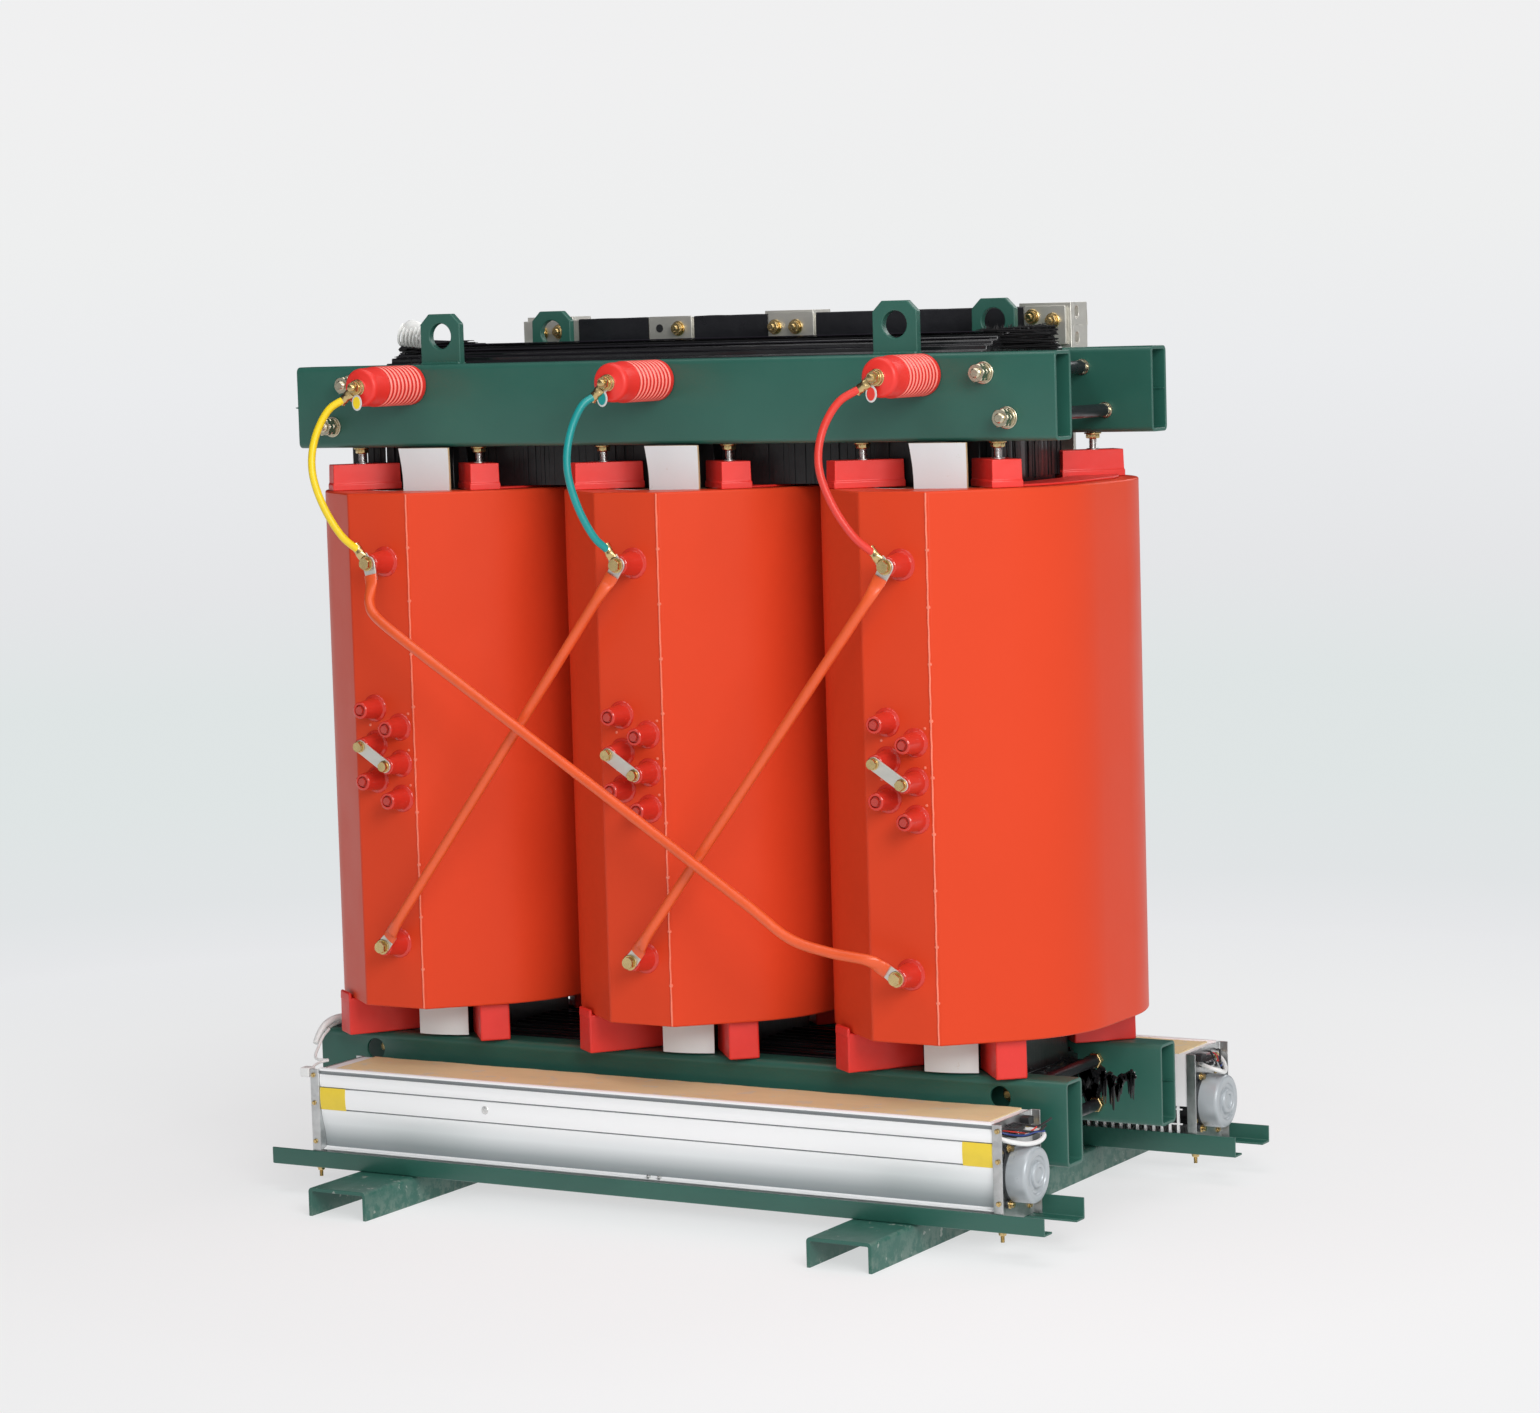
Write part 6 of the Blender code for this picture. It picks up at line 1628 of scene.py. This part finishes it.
me = bpy.data.meshes.new("floor")
bm.to_mesh(me)
bm.free()
me.materials.append(fm)
floor = bpy.data.objects.new("floor", me)
bpy.context.scene.collection.objects.link(floor)

w = bpy.data.worlds.new("studio")
bpy.context.scene.world = w
w.use_nodes = True
bg = w.node_tree.nodes.get("Background")
wt = w.node_tree
wc = n(wt, "ShaderNodeTexCoord")
wv = wc.outputs["Generated"]
tall = n(wt, "ShaderNodeSeparateXYZ")
wt.links.new(wv, tall.inputs[0])
rise = rng_map(wt, tall.outputs["Z"], -0.05, 0.058, 0.3165, 0.0)
seen = n(wt, "ShaderNodeLightPath").outputs["Is Camera Ray"]
side = rng_map(wt, vdot(wt, wv, Vector((0.80, -0.52, 0.30)).normalized()), -0.6, 0.9, 0.0, 1.0)
room = ramp(wt, side, [(0.0, (0.030, 0.024, 0.036)), (0.5, (0.120, 0.118, 0.126)), (1.0, (0.60, 0.60, 0.595))])
wt.links.new(mixc(wt, seen, room, ramp(wt, rise, PAPER)), bg.inputs["Color"])
bg.inputs["Strength"].default_value = 1.0


def area(name, loc, target, size, power, colour=(1, 1, 1), size_y=None):
    d = bpy.data.lights.new(name, "AREA")
    d.energy, d.color, d.shape = power, colour, "RECTANGLE"
    d.size, d.size_y = size, size_y or size
    o = bpy.data.objects.new(name, d)
    bpy.context.scene.collection.objects.link(o)
    o.location = loc
    o.rotation_mode = "QUATERNION"
    o.rotation_quaternion = (Vector(target) - Vector(loc)).to_track_quat("-Z", "Y")
    return o


area("key", (3.9, -3.2, 3.0), (0, 0, 0.6), 2.4, 152.0)
fill = area("fill", (1.9, -5.4, 2.0), (0, 0, 0.6), 2.0, 32.0, (0.98, 0.99, 1.0))
fill.visible_glossy = False
area("top", (0.2, -0.4, 4.6), (0, 0, 0.6), 3.6, 66.0)
area("rim", (1.2, 4.4, 3.0), (0, 0, 0.8), 2.4, 40.0)

vs = bpy.context.scene.view_settings
vs.view_transform = "Standard"
vs.look = "None"
vs.exposure = 0.0
